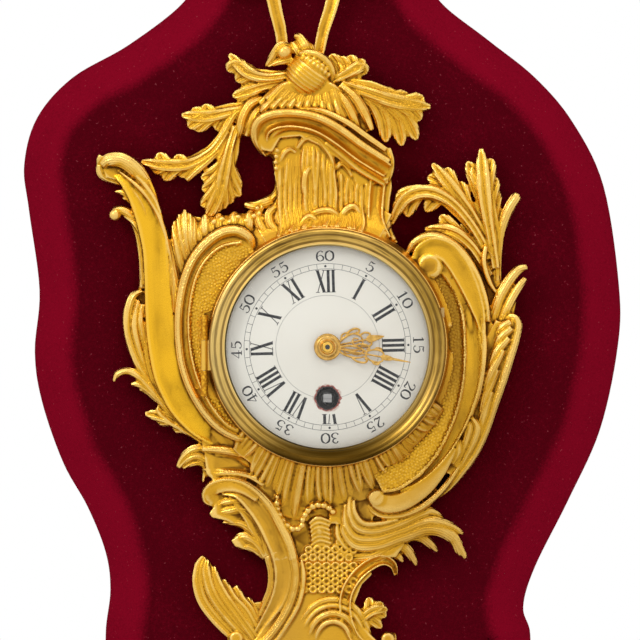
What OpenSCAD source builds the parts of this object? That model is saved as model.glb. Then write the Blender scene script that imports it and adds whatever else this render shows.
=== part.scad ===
// Cartel wall clock: gilt bronze case on a velvet-covered board, with a spring-driven round movement.

/* [Dial and hands] */
// Radius of the enamel that shows inside the bezel
sight_r = 42.5; // [41.5:0.1:43.5]
// Thickness of the enamel dial
dial_t = 1.8; // [1.4:0.1:2]
// Rise of the domed dial from its rim to its middle
dial_rise = 1.5; // [1:0.1:2]
// Length of the minute hand from the arbor
minute_len = 35.5; // [30:0.5:38]
// Length of the hour hand from the arbor
hour_len = 24.2; // [20:0.2:27]
// Thickness of each hand
hand_t = 0.7; // [0.5:0.1:0.9]
// Rest angle of the minute hand, clockwise from twelve
minute_rest = 100.4; // [90:0.1:110]
// Rest angle of the hour hand, clockwise from twelve
hour_rest = 79.2; // [70:0.1:90]

/* [Bezel and glass] */
// Radial width of the bezel ring
bezel_w = 7.3; // [6.9:0.1:8]
// Height of the bezel ring
bezel_h = 8; // [7.6:0.1:9]
// Thickness of the glass
glass_t = 1.6; // [1.2:0.1:2]
// Rise of the domed glass
glass_rise = 8; // [7:0.5:10]
// Length of the bezel hinge
hinge_len = 34; // [28:1:38]
// Radius of the hinge knuckles
knuckle_r = 1.5; // [1.3:0.1:1.7]
// Radius of the hinge pin
pin_r = 0.6; // [0.5:0.05:0.8]

/* [Board] */
// Thickness of the wooden board
board_t = 20; // [18:0.5:22]
// Thickness left at the rim of the board, below the bevel
rim_t = 8; // [6:0.5:10]
// Width of the bevel round the board
bevel_w = 15; // [12:0.5:17]
// Thickness of the velvet
velvet_t = 1.2; // [0.8:0.1:1.5]
// Width of the velvet hem turned over on the back
hem_w = 14; // [10:0.5:18]
// Height of the wall nail above the dial axis
dial_drop = 165; // [160:1:172]
// Radius of the hole for the wall nail
nail_r = 4; // [3:0.1:4.5]

/* [Bronze] */
// Depth from the wall to the dial seat
case_depth = 44; // [43.5:0.1:46]
// Height of the tallest scrolls above the velvet
scroll_h = 17; // [14:0.5:18]
// Height of the leaves above the velvet
leaf_h = 9; // [7:0.5:11]
// Radius of the threaded fixing studs
stud_r = 2; // [1.6:0.1:2.4]

/* [Movement] */
// Radius of the movement plates
plate_r = 38; // [37.5:0.1:38.4]
// Thickness of the movement plates
plate_t = 2; // [1.6:0.1:2.2]
// Room between the balance cock and the rear cover
cock_room = 2.3; // [1.5:0.1:2.6]
// Drop of the winding arbor below the dial axis
winding_drop = 21.4; // [21:0.1:22]
// Width across the flats of the winding square
winding_sq = 3.5; // [3:0.1:4]
// Radius of the winding hole in the dial
winding_hole_r = 4.6; // [4:0.1:5]
// Running clearance of every pivot and pipe
run = 0.03; // [0.02:0.01:0.05]

/* [Hidden] */
$fn = 64;
eps = 0.01;

// Everything is drawn in the dial's own frame: x right, y up, z out from the wall, then hung on its nail.
module hung() translate([0, 0, -dial_drop]) rotate([90, 0, 0]) children();

// Levels out from the wall
board_back = velvet_t;
board_front = board_back + board_t;
front_z = board_front + velvet_t;
dial_plate_t = 1.2;
plate_front = case_depth;
plate_back = plate_front - dial_plate_t;
seat_gap = 0.3;
screw_head_t = 0.9;
bezel_back = plate_front + screw_head_t + seat_gap;
rim_z = bezel_back - seat_gap;
motion_gap = 5.5;
fp_front = plate_back - motion_gap;
fp_back = fp_front - plate_t;
cover_back = velvet_t + 1.6;
cover_t = 1.2;
screw_t = 0.8;
plat_t = 1.2;
cock_h = 9;
bp_back = cover_back + cover_t + cock_room + screw_t + cock_h + plat_t;
bp_front = bp_back + plate_t;
plate_gap = fp_back - bp_front;
seat_h = rim_z - front_z;

// Radii round the dial axis
bezel_r = sight_r + bezel_w;
dial_r = sight_r + 1.3;
dial_plate_r = bezel_r - 2.6;
rebate_r = dial_plate_r + 0.3;
drum_r = plate_r + 4.2;
drum_wall = 1;
opening_r = drum_r + 0.6;
board_hole_r = drum_r + 0.8;
grow = bezel_r / 49.8;
hinge_x = -(bezel_r + knuckle_r + 0.3);
hinge_z = bezel_back + 1.5;
hinge_y = -3.5;

// A smooth curve through hand-placed points
function turn(a, b, c, d, t) = 0.5 * (2 * b + (c - a) * t + (2 * a - 5 * b + 4 * c - d) * t * t
    + (3 * b - a - 3 * c + d) * t * t * t);
function at(p, t) = let (s = t * (len(p) - 1), k = min(floor(s), len(p) - 2), q = len(p) - 1)
    turn(p[max(k - 1, 0)], p[k], p[k + 1], p[min(k + 2, q)], s - k);
function curve(p, n) = [for (i = [0:n]) at(p, i / n)];
function loop_at(p, t) = let (q = len(p), s = t * q, k = floor(s) % q)
    turn(p[(k + q - 1) % q], p[k], p[(k + 1) % q], p[(k + 2) % q], s - floor(s));
function unit(v) = v / max(norm(v), 0.0001);
function side_of(p, t) = let (d = unit(at(p, min(t + 0.02, 1)) - at(p, max(t - 0.02, 0)))) [-d.y, d.x];
function along(v, t) = is_list(v)
    ? let (s = t * (len(v) - 1), k = min(floor(s), len(v) - 2)) v[k] + (v[k + 1] - v[k]) * (s - k) : v;

// Closed skin over a row of rings, each end closed to its own middle point
module skin(rings) {
    m = len(rings);
    k = len(rings[0]);
    ends = [for (r = [rings[0], rings[m - 1]]) [for (c = [0:2]) [for (p = r) p[c]] * [for (p = r) 1 / k]]];
    walls = [for (i = [0:m - 2], j = [0:k - 1]) let (a = i * k + j, b = i * k + (j + 1) % k)
        each [[a, b, b + k], [a, b + k, a + k]]];
    caps = [for (j = [0:k - 1]) let (n = (j + 1) % k, e = (m - 1) * k)
        each [[n, j, m * k], [e + j, e + n, m * k + 1]]];
    polyhedron(concat([for (r = rings) each r], ends), concat(walls, caps));
}

// Cross-sections of the cast work: across from -1 to 1, height from 0 to 1
round_back = [[-1, 0], [-0.5, 0.92], [0.5, 0.92], [1, 0]];
hollow_back = [[-1, 0], [-0.9, 1], [-0.4, 0.72], [0.4, 0.72], [0.9, 1], [1, 0]];
keel_back = [[-1, 0], [0, 1], [1, 0]];
// Cast work is drawn a little into the velvet and cut level with its face
sunk = 1.5;

// A moulding of changing width and height laid along a curve on the velvet
module strip(path, w, h, section = round_back, n = 5) {
    skin([for (i = [0:n]) let (t = i / n, p = at(path, t), s = side_of(path, t))
        [for (q = section) [grow * (p.x + s.x * q.x * along(w, t)), grow * (p.y + s.y * q.x * along(w, t)),
            q.y == 0 ? front_z - sunk : front_z + q.y * along(h, t)]]]);
}

// An acanthus leaf: a middle rib and pairs of fingers that leave it and bend towards the tip
module leaf(path, w, h = leaf_h, pairs = 2, sides = [-1, 1]) {
    strip(path, [w * 0.5, w * 0.62, w * 0.5, w * 0.22], [h * 0.7, h, h * 0.95, h * 0.6], n = 4);
    for (s = sides, j = [0:pairs - 1]) {
        t0 = 0.05 + 0.5 * j / pairs;
        t1 = t0 + 0.42;
        reach = s * w * (1 - 0.25 * abs(j - (pairs - 1) / 2));
        mid = at(path, (t0 + t1) / 2 - 0.03) + side_of(path, (t0 + t1) / 2) * reach * 0.6;
        strip([at(path, t0), mid, at(path, t1) + side_of(path, t1) * reach],
            [w * 0.36, w * 0.5, w * 0.24], [h * 0.7, h * 0.9, h * 0.5], keel_back, 3);
    }
}

// A round cord or ridge of cast metal laid along a curve, as short rounded lengths
module cord_ridge(path, r, z, n) {
    for (i = [0:n - 1]) hull() for (t = [i / n, (i + 1) / n])
        translate([grow * at(path, t).x, grow * at(path, t).y, front_z + along(z, t)])
            sphere(along(r, t) * (t == i / n ? 0.97 : 1), $fn = 6);
}

// A plain ground of bronze that joins the leaves and scrolls
module ground(pts, h) translate([0, 0, front_z - sunk]) linear_extrude(sunk + h) polygon(grow * pts);

// A rounded button that ends a scroll
module button(p, r, h) translate([grow * p.x, grow * p.y, front_z - sunk])
    rotate_extrude($fn = 11) polygon([[0, 0], [r, 0], [r * 0.85, sunk + h * 0.8], [0, sunk + h]]);

// Zones that split the bronze into castings that meet on plain joints
crest_zone = [[-50, 56], [-39, 48], [-28, 51.5], [24, 51.5], [27, 60], [30, 92], [70, 92], [70, 127], [-100, 127],
    [-100, 84], [-62, 70]];
apron_zone = [[-90, -87.5], [-25, -87.5], [-22, -92], [10, -92], [15, -89], [29, -89], [33, -99], [90, -99],
    [90, -180], [-90, -180]];
joint_gap = 0.1;
module zone(pts, spare = 0) translate([0, 0, front_z - 8]) linear_extrude(70)
    offset(delta = spare) polygon(grow * pts);
module below_velvet() translate([-300, -300, front_z - 20]) cube([600, 600, 20]);

// Backing board: a shaped wooden panel with a bevelled edge
board_outline = [[-56, 160], [-61, 146], [-84, 128], [-108, 114], [-123, 97], [-128.5, 77], [-126.5, 58], [-122, 24],
    [-124, -2], [-121, -23], [-112, -49], [-101.5, -68], [-94, -87], [-92, -103], [-94, -122], [-92, -145],
    [-76, -163], [-50, -172], [-25, -183], [-4, -188], [17, -183], [42, -172], [68, -163], [84, -145], [86, -122],
    [83, -110], [88, -93], [102, -65], [115.5, -35], [123, 0], [123.5, 26], [117, 68], [104, 95], [88, 114],
    [68, 130], [48, 146], [42, 160], [46, 178], [38, 198], [18, 208], [-8, 211], [-34, 208], [-54, 198], [-61, 178]];
outline_steps = 76;
function rim(t, inset) = let (p = loop_at(board_outline, t), q = loop_at(board_outline, (t + 0.997) % 1),
    r = loop_at(board_outline, (t + 0.003) % 1), d = unit(r - q)) grow * p + inset * [-d.y, d.x];
module wrapped(profile) {
    n = outline_steps;
    k = len(profile);
    ring = [for (i = [0:n - 1]) [for (q = profile) let (t = i / n, e = rim(t, 0), c = unit(e))
        q[0] == "hole" ? [q[1] * c.x, q[1] * c.y, q[2]] : [rim(t, q[1]).x, rim(t, q[1]).y, q[2]]]];
    faces = [for (i = [0:n - 1], j = [0:k - 1]) let (m = (j + 1) % k, a = i * k + j, b = i * k + m,
        c = (i + 1) % n * k + j, d = (i + 1) % n * k + m)
        each profile[j][1] < profile[m][1] ? [[a, b, c], [b, d, c]] : [[a, b, d], [a, d, c]]];
    polyhedron([for (r = ring) each r], faces);
}
stud_places = [[-71, 25], [63.5, 8], [-4, -66], [-17, 104], [9, 84], [-3, -112], [-10, 172]];
hanger_y = dial_drop;
nut_pocket = 6;
module at_studs() for (p = stud_places) translate([grow * p.x, grow * p.y, 0]) children();
module backing_board() color("sienna") difference() {
    wrapped([["rim", velvet_t, board_back], ["rim", velvet_t, board_back + rim_t],
        ["rim", velvet_t + bevel_w, board_front], ["hole", board_hole_r, board_front],
        ["hole", board_hole_r, board_back]]);
    at_studs() cylinder(r = stud_r + 0.1, h = board_front + 1);
    at_studs() cylinder(r = washer_r + 0.3, h = board_back + nut_pocket);
    translate([0, hanger_y, 0]) cylinder(r = nail_r + 1.5, h = board_back + 12);
    for (x = [-hanger_hole, hanger_hole]) translate([x, hanger_y, 0])
        cylinder(r = hanger_screw_r + 0.05, h = board_back + 10, $fn = 32);
}

// Velvet: one cloth stretched over the front and the bevel, its hem turned over on the back
module velvet_cover() color("darkred") difference() {
    wrapped([["rim", 0, 0], ["rim", 0, board_back + rim_t + velvet_t * 0.6],
        ["rim", velvet_t * 0.5 + bevel_w, front_z], ["hole", board_hole_r, front_z],
        ["hole", board_hole_r, board_front], ["rim", velvet_t + bevel_w, board_front],
        ["rim", velvet_t, board_back + rim_t], ["rim", velvet_t, board_back], ["rim", velvet_t + hem_w, board_back],
        ["rim", velvet_t + hem_w, 0]]);
    at_studs() translate([0, 0, board_front - 1]) cylinder(r = stud_r + 0.1, h = velvet_t + 2);
}

// Wall hanger: a flat brass plate let in level with the hem, with a round hole for the wall nail
hanger_hole = 15;
hanger_w = 42;
hanger_h = 16;
hanger_screw_r = 1.5;
module wall_hanger() color("goldenrod") difference() {
    translate([0, hanger_y, 0]) linear_extrude(velvet_t) square([hanger_w, hanger_h], center = true);
    translate([0, hanger_y, -1]) cylinder(r = nail_r, h = velvet_t + 2);
    for (x = [-hanger_hole, hanger_hole]) translate([x, hanger_y, 0]) {
        translate([0, 0, -1]) cylinder(r = hanger_screw_r + 0.1, h = velvet_t + 2, $fn = 32);
        cylinder(r1 = hanger_screw_r + 1.2, r2 = hanger_screw_r + 0.1, h = velvet_t, $fn = 32);
    }
}
module hanger_screws() color("silver") for (x = [-hanger_hole, hanger_hole]) translate([x, hanger_y, 0]) {
    cylinder(r1 = hanger_screw_r + 1.1, r2 = hanger_screw_r, h = velvet_t, $fn = 32);
    translate([0, 0, velvet_t - eps]) cylinder(r = hanger_screw_r, h = 9, $fn = 32);
}

// Case casting: the body round the dial with its left band, its right scroll and the side leaves
module dial_ring() {
    rotate_extrude($fn = 44) polygon([[opening_r - 1, front_z - sunk], [bezel_r + 10, front_z - sunk],
        [bezel_r + 9.5, front_z + 8], [bezel_r + 3, rim_z - 6.5], [bezel_r + 1.5, rim_z - 3.2],
        [bezel_r - 0.5, rim_z + 1], [opening_r - 1, rim_z + 1]]);
    translate([hinge_x - 6, hinge_y - hinge_len / 2 - 2, front_z - sunk])
        cube([8, hinge_len + 4, leaf_back + 0.5 - front_z + sunk]);
}
module left_band() {
    ground([[-78, 75], [-71, 65], [-65, 49], [-60, 54], [-47, 51], [-27, 45], [-30, -40], [-53, -39], [-70, -25], [-78, -18],
        [-82, 4], [-82.5, 16], [-79, 28], [-77.5, 38], [-80, 46], [-83, 53]], 6);
    strip([[-56, 41], [-47.5, 50.5], [-38, 53], [-28, 49]], [3, 4.5, 4.5, 3], [13, 13, 13, 12], n = 4);
    strip([[-90, 78], [-81.5, 72], [-74.5, 57.5], [-71.5, 40], [-71, 19], [-69, -2], [-62, -20], [-50, -34], [-38, -40]],
        [5, 8.5, 7.5, 7.2, 7.4, 7, 6, 4.5, 2], [8, 12, 13, 14, 14, 14, 13, 11, 8], hollow_back, 12);
    button([-91, 75.5], 4.6, 12);
    strip([[-89, 56], [-86, 57.5], [-82.5, 52.5], [-79, 45], [-78, 35], [-80, 21]], [1.5, 2, 2, 2, 2, 1.5], [6, 8, 9, 9, 9, 7]);
    button([-88.5, 55], 2.2, 9);
    strip([[-79, 22], [-82.5, 13], [-82, 4], [-78.5, -7], [-73, -17], [-63, -29], [-53, -39]],
        [1.5, 3.2, 3, 2.5, 2.2, 2, 1.5], [5, 8, 8, 8, 8, 8, 6], n = 9);
    strip([[-68, -21], [-74.5, -15.5], [-80.5, -11.5], [-86.5, -10.5], [-90, -14.5]], [3, 3, 2.6, 2.2, 0.8], [8, 8, 7, 7, 5]);
    strip([[-69, -22], [-76, -17.5], [-83, -16.5]], [2.5, 2.2, 0.8], [7, 7, 5], n = 4);
    leaf([[-50, -39], [-62, -33.5], [-70.5, -28.5], [-78, -28.5]], 3.6, pairs = 1);
    for (q = [[[-54, 24], [-62, 42], [-65, 55]], [[-52, 28], [-59.5, 44], [-60.5, 58.5]], [[-49, 32], [-56, 46], [-55.5, 56]]])
        strip(q, [2.4, 2.2, 0.6], [10, 11, 7], n = 3);
}
left_ridge = [[-34, 42], [-36, 47.5], [-42, 49], [-51, 42.5], [-58, 33], [-62, 19.5], [-62.5, 5], [-59.5, -12],
    [-52.5, -26.5], [-43.5, -37.5], [-37, -39.5], [-34.5, -35.5]];
ridge_h = seat_h - 5.5;
module right_scroll() {
    ground([[65, 76], [70, 68], [71.5, 55], [71, 28], [79, 12], [77, 1], [72.5, -15], [64.5, -37], [52, -59], [39, -64], [22, -67],
        [20, -60], [50, 0], [52, 36], [49, 51], [44, 63], [48, 69], [55, 65]], 5);
    strip([[40, 34], [43, 39.5], [49.5, 41], [56.5, 35.5], [62, 25], [64, 11.5], [63, -5.5], [58.5, -22.5], [50.5, -39],
        [38.5, -53.5], [27, -61.5], [20, -61.5]],
        [2.5, 3.6, 4.2, 4.6, 5, 5.2, 5.2, 4.8, 4.4, 4, 4, 2.5], [scroll_h, scroll_h, 16, 15, 14, 14, 14, 14, 14, 14, 13, 11],
        hollow_back, 12);
    button([43, 35], 4, scroll_h + 1);
    leaf([[68, 20], [68.5, 38], [68, 54], [66.5, 68], [65, 82]], 7, pairs = 3);
    leaf([[67, 38], [61, 54.5], [53, 66], [44, 76.5]], 6.5, pairs = 2);
    leaf([[66, 36], [58, 53], [46, 62.5], [35, 61.5], [28, 53]], 5.5, pairs = 2);
    leaf([[65, 26], [58, 42], [50, 48], [42, 50]], 4.5, pairs = 1);
    strip([[70, 22], [71.5, 40], [74, 53], [79.5, 63.5]], [3, 2.6, 2.2, 0.6], [8, 8, 8, 5]);
    strip([[68, 2], [71, 17], [76, 26], [83.5, 33.5]], [4, 3.2, 2.6, 0.6], [9, 9, 8, 5]);
    strip([[70, 8], [76, 20], [84, 29]], [3, 2.6, 0.6], [8, 8, 5], n = 4);
    strip([[75, 14], [73, -1], [69, -16], [63.5, -30], [57, -44.5], [48.5, -56.5]], [6, 7, 6.2, 5.4, 4.8, 3], [9, 11, 11, 11, 11, 8], n = 8);
    button([78, 11], 3.6, 11);
    strip([[61, -29], [62.5, -38], [57.5, -50]], [2, 3.2, 1.5], [10, 12, 9], n = 4);
}
module lower_foliage() {
    ground([[-54, -40], [-61, -48], [-52, -57], [-49, -64], [-38, -71], [-35, -77], [-37, -83], [-26, -86], [-22, -99], [7, -99],
        [14, -95], [24, -91], [36, -90], [46, -85], [54, -80], [47, -73], [37, -68], [47, -55], [1, -39]], 6);
    for (a = [-118:11.5:-37]) strip([[44 * cos(a), 44 * sin(a)], [54 * cos(a), 54 * sin(a)], [63 * cos(a + 4), 63 * sin(a + 4)]],
        [4.2, 4.6, 3], [seat_h - 2.5, seat_h - 7.5, 8], n = 3);
    strip([[-56, -46], [-40, -44.5], [-25, -48.5]], [4, 4.5, 4.5], [9, 13, 16], hollow_back, 5);
    leaf([[-47, -45], [-53, -44], [-59, -46], [-63.5, -52]], 3, pairs = 1);
    strip([[-52, -66], [-48.5, -58.5], [-38.5, -56], [-27.5, -61], [-18.5, -71.5], [-12.5, -86]],
        [2, 4, 4.5, 4.5, 4, 3], [8, 11, 13, 13, 12, 10], hollow_back, 9);
    button([-52, -65.5], 2.6, 8);
    for (q = [[[-32, -62], [-41, -66], [-50, -70]], [[-27, -67], [-34.5, -72], [-44.5, -75]], [[-20, -76], [-30, -79], [-40.5, -81]]])
        strip(q, [4, 3.2, 0.8], [10, 9, 5], n = 4);
    for (q = [[[17, -62], [24.5, -74], [36.5, -74], [48, -71.5]], [[12, -72], [27, -80], [42, -78], [57, -78]],
        [[20, -80], [40, -81], [52, -84], [58, -89.5]], [[4, -80], [20, -87], [31, -87], [37, -92.5]]])
        strip(q, [5, 4.6, 3.6, 0.8], [12, 11, 9, 5], n = 6);
    strip([[-12, -60], [-5, -76], [-1, -96]], [16, 13, 11], [13, 10, 8], n = 4);
}
catch_w = 4;
module case_casting() color("gold") difference() {
    union() {
        dial_ring();
        left_band();
        cord_ridge(left_ridge, 1.8, [ridge_h - 2, ridge_h, ridge_h, ridge_h, ridge_h, ridge_h - 1, ridge_h - 2], 10);
        strip(left_ridge, 1.4, [ridge_h - 2.5, ridge_h - 0.5, ridge_h - 0.5, ridge_h - 0.5, ridge_h - 1.5, ridge_h - 2.5], n = 10);
        right_scroll();
        lower_foliage();
    }
    below_velvet();
    translate([0, 0, front_z - 5]) cylinder(r = opening_r, h = 40, $fn = 44);
    translate([0, 0, plate_back]) cylinder(r = rebate_r, h = 20, $fn = 44);
    translate([0, 0, rim_z]) cylinder(r = bezel_r + 2, h = 30, $fn = 44);
    translate([hinge_x - 8, hinge_y - hinge_len / 2 - 1, leaf_front]) cube([10, hinge_len + 2, 30]);
    translate([hinge_x - 5, hinge_y - hinge_len / 2 - 0.5, leaf_back]) cube([5.3, hinge_len + 1, 30]);
    translate([bezel_r - 1, -5, rim_z - 3]) cube([3, 12, 10]);
    translate([bezel_r - 2.6 - eps, 12, rim_z - catch_drop - 0.6]) cube([2.4, catch_w + 1, 20]);
    zone(crest_zone, joint_gap / 2);
    zone(apron_zone, joint_gap / 2);
}

// Crest casting: the hood over the dial with its rocaille panel, the fruit and the top leaves
module fruit() translate([-8 * grow, 115 * grow, front_z + 5]) {
    sphere(9.2 * grow, $fn = 16);
    translate([1.5, 8, 2]) rotate([-60, 0, 10]) cylinder(r1 = 5, r2 = 2.5, h = 6, $fn = 10);
}
module crest_casting() color("gold") difference() {
    intersection() {
    union() {
        strip([[-27, 78], [-27.5, 90], [-22, 96], [-13, 97.5], [-2.5, 93.5], [7.5, 85.5], [17, 79.5], [26, 76]],
            [3, 3.5, 3.8, 4, 4.4, 4.6, 4.6, 4.6], [14, 17, 19, 19, 19, 19, 18, 17], hollow_back, 10);
        ground([[-37, 47], [-32, 60], [-23, 62], [-23.5, 84], [-29, 85], [-30, 92], [-27, 102], [-36, 104], [-38, 112], [-27, 119], [-17, 126],
            [0, 126], [7.5, 119], [12, 117], [10, 109], [24, 106], [36, 103], [38, 97], [33, 91], [27, 86], [25, 45], [1, 43]], 6);
        strip([[-1, 100], [-1, 80], [-1, 62], [0, 50]], [15, 20, 21, 25], [8, 9, 10, 13], n = 4);
        strip([[20, 74], [19.5, 62], [22, 50]], [4.2, 4, 3.4], [14, 13, 14], hollow_back, 4);
        for (x = [-20, -12, -3, 6, 14]) strip([[x * 0.8, 52], [x, 64], [x * 1.1 - 2, 76 - abs(x) * 0.2]],
            [2.6, 3.4, 0.8], [17, 15, 10], n = 4);
        for (i = [0:7]) strip([[-27 + 4.8 * i, 107 - i * 0.7], [-27 + 4.8 * i, 98 - i]], [2.6, 2.9], [10, 14], n = 2);
        fruit();
        leaf([[-17, 113], [-30, 114.5], [-37.5, 118], [-42, 124]], 6, pairs = 2);
        strip([[-22, 110], [-33, 107.5], [-41, 105]], [4, 3.4, 0.8], [9, 8, 5], n = 4);
        leaf([[-26, 102], [-42, 100.5], [-52.5, 98.5], [-62, 97]], 4.5, pairs = 2);
        leaf([[-42, 90], [-53, 78], [-66, 75], [-78.5, 79]], 4.6, pairs = 2);
        leaf([[-39, 97], [-41.5, 82.5], [-45.5, 70], [-45, 57]], 6, pairs = 2);
        cord_ridge([[-24, 102], [-34, 99.5], [-39, 93.5], [-42, 87], [-49, 81]], [3, 2.4, 2, 2, 1.6], [6, 7, 9, 8.5, 6], 8);
        leaf([[0, 112], [9.5, 118], [16.5, 116.5]], 4, pairs = 1);
        leaf([[8, 107], [20, 105.5], [31.5, 103], [43.5, 101]], 8, pairs = 3);
        strip([[4, 108], [15, 98], [30, 88]], [5, 4.5, 0.8], [10, 9, 6], n = 4);
    }
    zone(crest_zone, -joint_gap / 2);
    }
    below_velvet();
}

// Ribbon bow: straps that rise from the fruit to a knotted bow
module ribbon_bow() color("gold") difference() {
    union() {
        for (q = [[[-17, 124], [-22, 141], [-24, 156], [-19, 168], [-12, 174]], [[-4, 124], [0.5, 141], [3, 156], [-1, 168], [-8, 174]]])
            strip(q, [2.2, 2.6, 2.8, 2.6, 2], [5, 6, 6.5, 7, 8], hollow_back, 5);
        for (s = [-1, 1]) {
            strip([[-10 + s * 2, 174], [-10 + s * 14, 185], [-10 + s * 26, 186], [-10 + s * 29, 178]], [2.4, 3.2, 3.6, 3], [8, 9.5, 9, 8], hollow_back, 5);
            strip([[-10 + s * 28.5, 181], [-10 + s * 20, 174.5], [-10 + s * 3, 171.5]], [2.8, 2.8, 2.2], [7.5, 7, 6.5], hollow_back, 3);
            strip([[-10 + s * 2, 171], [-10 + s * 14, 163], [-10 + s * 21, 154], [-10 + s * 31, 149]], [2.2, 3, 3.2, 2.4], [6, 6.7, 6, 4], hollow_back, 5);
        }
        cord_ridge([[-15, 173], [-13, 176], [-10, 177], [-7, 176], [-5, 173], [-7, 170], [-10, 169], [-13, 170], [-15, 173]], 3, 6.2, 8);
    }
    zone(crest_zone, joint_gap / 2);
    below_velvet();
}

// Apron casting: the foot of the case, two scrolls round a scaled panel that end in a pendant leaf
module apron_casting() color("gold") difference() {
    intersection() {
    union() {
        strip([[-18.5, -71.5], [-12.5, -86], [-12, -101], [-17, -114], [-30, -126], [-40, -124], [-42, -115]],
            [4, 3.6, 3.4, 3.4, 3.2, 2.8, 1.5], [12, 11, 11, 11, 10, 9, 8], hollow_back, 10);
        button([-40, -117.5], 3, 10);
        strip([[28.5, -97], [24.5, -90.5], [18.5, -93], [12, -98.5], [8, -106.5], [9, -118], [18, -128], [28, -127], [29, -118]],
            [1.6, 2, 2.6, 3, 3.2, 3.2, 3, 2.6, 1.5], [9, 10, 11, 11, 11, 10, 9, 8, 8], hollow_back, 11);
        button([27, -120.5], 3, 10);
        leaf([[-29, -124], [-37.5, -112.5], [-47.5, -102], [-52, -89]], 7, pairs = 3);
        leaf([[10, -122], [15, -113], [20.5, -109], [26, -108]], 4, pairs = 1);
        ground([[-25, -86], [-22, -100], [-24, -110], [-31, -118], [-37, -127], [-20, -134], [-10, -140], [-3, -150], [4, -140], [14, -134],
            [27, -127], [22, -118], [13, -111], [13, -100], [19, -93], [26, -86]], 6);
        for (i = [0:2]) cord_ridge([[-10 + i, -121], [-8 + i, -109 - i * 3], [-1, -104 - i * 4], [5 - i, -109 - i * 3], [8 - i, -121]], 1.2, 8, 5);
        leaf([[-3, -130], [-3, -142], [-4, -154], [-3, -164]], 9, pairs = 3);
        for (s = [-1, 1]) strip([[-3, -126], [-3 + s * 12, -134], [-3 + s * 20, -141], [-3 + s * 25, -139]], [5, 4.4, 3, 0.8], [9, 9, 7, 5], n = 5);
    }
    zone(apron_zone, -joint_gap / 2);
    }
    below_velvet();
}

// Fixings of the castings: studs through the board, with washers and nuts in pockets on its back
washer_r = 5;
washer_t = 1;
nut_r = 4;
nut_t = 3;
pocket_floor = board_back + nut_pocket;
module fixing_studs() color("silver") at_studs() translate([0, 0, board_back + 0.6])
    cylinder(r = stud_r, h = front_z - board_back - 0.6, $fn = 32);
module stud_washers() color("silver") at_studs() translate([0, 0, pocket_floor - washer_t]) difference() {
    cylinder(r = washer_r, h = washer_t, $fn = 32);
    translate([0, 0, -1]) cylinder(r = stud_r + 0.1, h = washer_t + 2, $fn = 32);
}
module stud_nuts() color("silver") at_studs() translate([0, 0, pocket_floor - washer_t - nut_t]) difference() {
    cylinder(r = nut_r, h = nut_t, $fn = 6);
    translate([0, 0, -1]) cylinder(r = stud_r + run, h = nut_t + 2, $fn = 32);
}

// Hinge: a leaf on the case with two end knuckles, a pin, and a middle knuckle on the bezel
leaf_back = rim_z - 5;
leaf_t = 1.5;
leaf_front = leaf_back + leaf_t;
leaf_w = 4.4;
knuckle_gap = 0.2;
end_knuckle = hinge_len * 0.31;
mid_knuckle = hinge_len - 2 * end_knuckle - 2 * knuckle_gap;
module upright(y0, len, r) translate([hinge_x, y0, hinge_z]) rotate([-90, 0, 0]) cylinder(r = r, h = len, $fn = 32);
hinge_low = hinge_y - hinge_len / 2;
module hinge_leaf() color("goldenrod") difference() {
    union() {
        translate([hinge_x - leaf_w, hinge_low, leaf_back]) cube([leaf_w, hinge_len, leaf_t]);
        for (y0 = [hinge_low, hinge_low + hinge_len - end_knuckle]) {
            upright(y0, end_knuckle, knuckle_r);
            translate([hinge_x - knuckle_r, y0, leaf_back]) cube([knuckle_r - pin_r - 0.1, end_knuckle, hinge_z - leaf_back]);
        }
    }
    upright(hinge_low - 1, hinge_len + 2, pin_r);
    for (y = [hinge_low + 4, hinge_low + hinge_len - 4]) translate([hinge_x - leaf_w + 1.4, y, leaf_back - 1])
        cylinder(r = 0.6, h = 4, $fn = 32);
}
module hinge_screws() color("silver") for (y = [hinge_low + 4, hinge_low + hinge_len - 4])
    translate([hinge_x - leaf_w + 1.4, y, leaf_back]) {
        cylinder(r = 0.55, h = leaf_t, $fn = 32);
        translate([0, 0, leaf_t]) cylinder(r = 1.1, h = 0.5, $fn = 32);
    }
module hinge_pin() color("silver") upright(hinge_low, hinge_len, pin_r - eps);

// Bezel: a turned brass ring with a hollow front, hinged on the left
lip_z = bezel_back + 4.8;
bezel_top = bezel_back + bezel_h;
cove = 0.5;
module bezel() color("darkkhaki") difference() {
    union() {
        rotate_extrude() polygon(concat([[sight_r, lip_z], [dial_plate_r - 0.8, lip_z],
            [dial_plate_r - 0.8, bezel_back], [bezel_r, bezel_back], [bezel_r, bezel_top - 1.5],
            [bezel_r - 0.5, bezel_top - 0.4], [bezel_r - 1.3, bezel_top], [bezel_r - 2, bezel_top - 0.3]],
            [for (t = [0.1:0.2:0.9]) (1 - t) * [bezel_r - 2, bezel_top - 0.3] + t * [sight_r + 1.3, lip_z + 1.4]
                - [0, 4 * cove * t * (1 - t)]],
            [[sight_r + 1.3, lip_z + 1.4], [sight_r + 1.1, lip_z + 2], [sight_r + 0.3, lip_z + 2], [sight_r, lip_z + 1.6]]));
        upright(mid_y0, mid_knuckle, knuckle_r);
        translate([hinge_x, mid_y0, hinge_z - 0.6]) cube([knuckle_r + 1.3, mid_knuckle, 1.2]);
    }
    upright(mid_y0 - 1, mid_knuckle + 2, pin_r + 0.05);
}
mid_y0 = hinge_low + end_knuckle + knuckle_gap;

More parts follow.
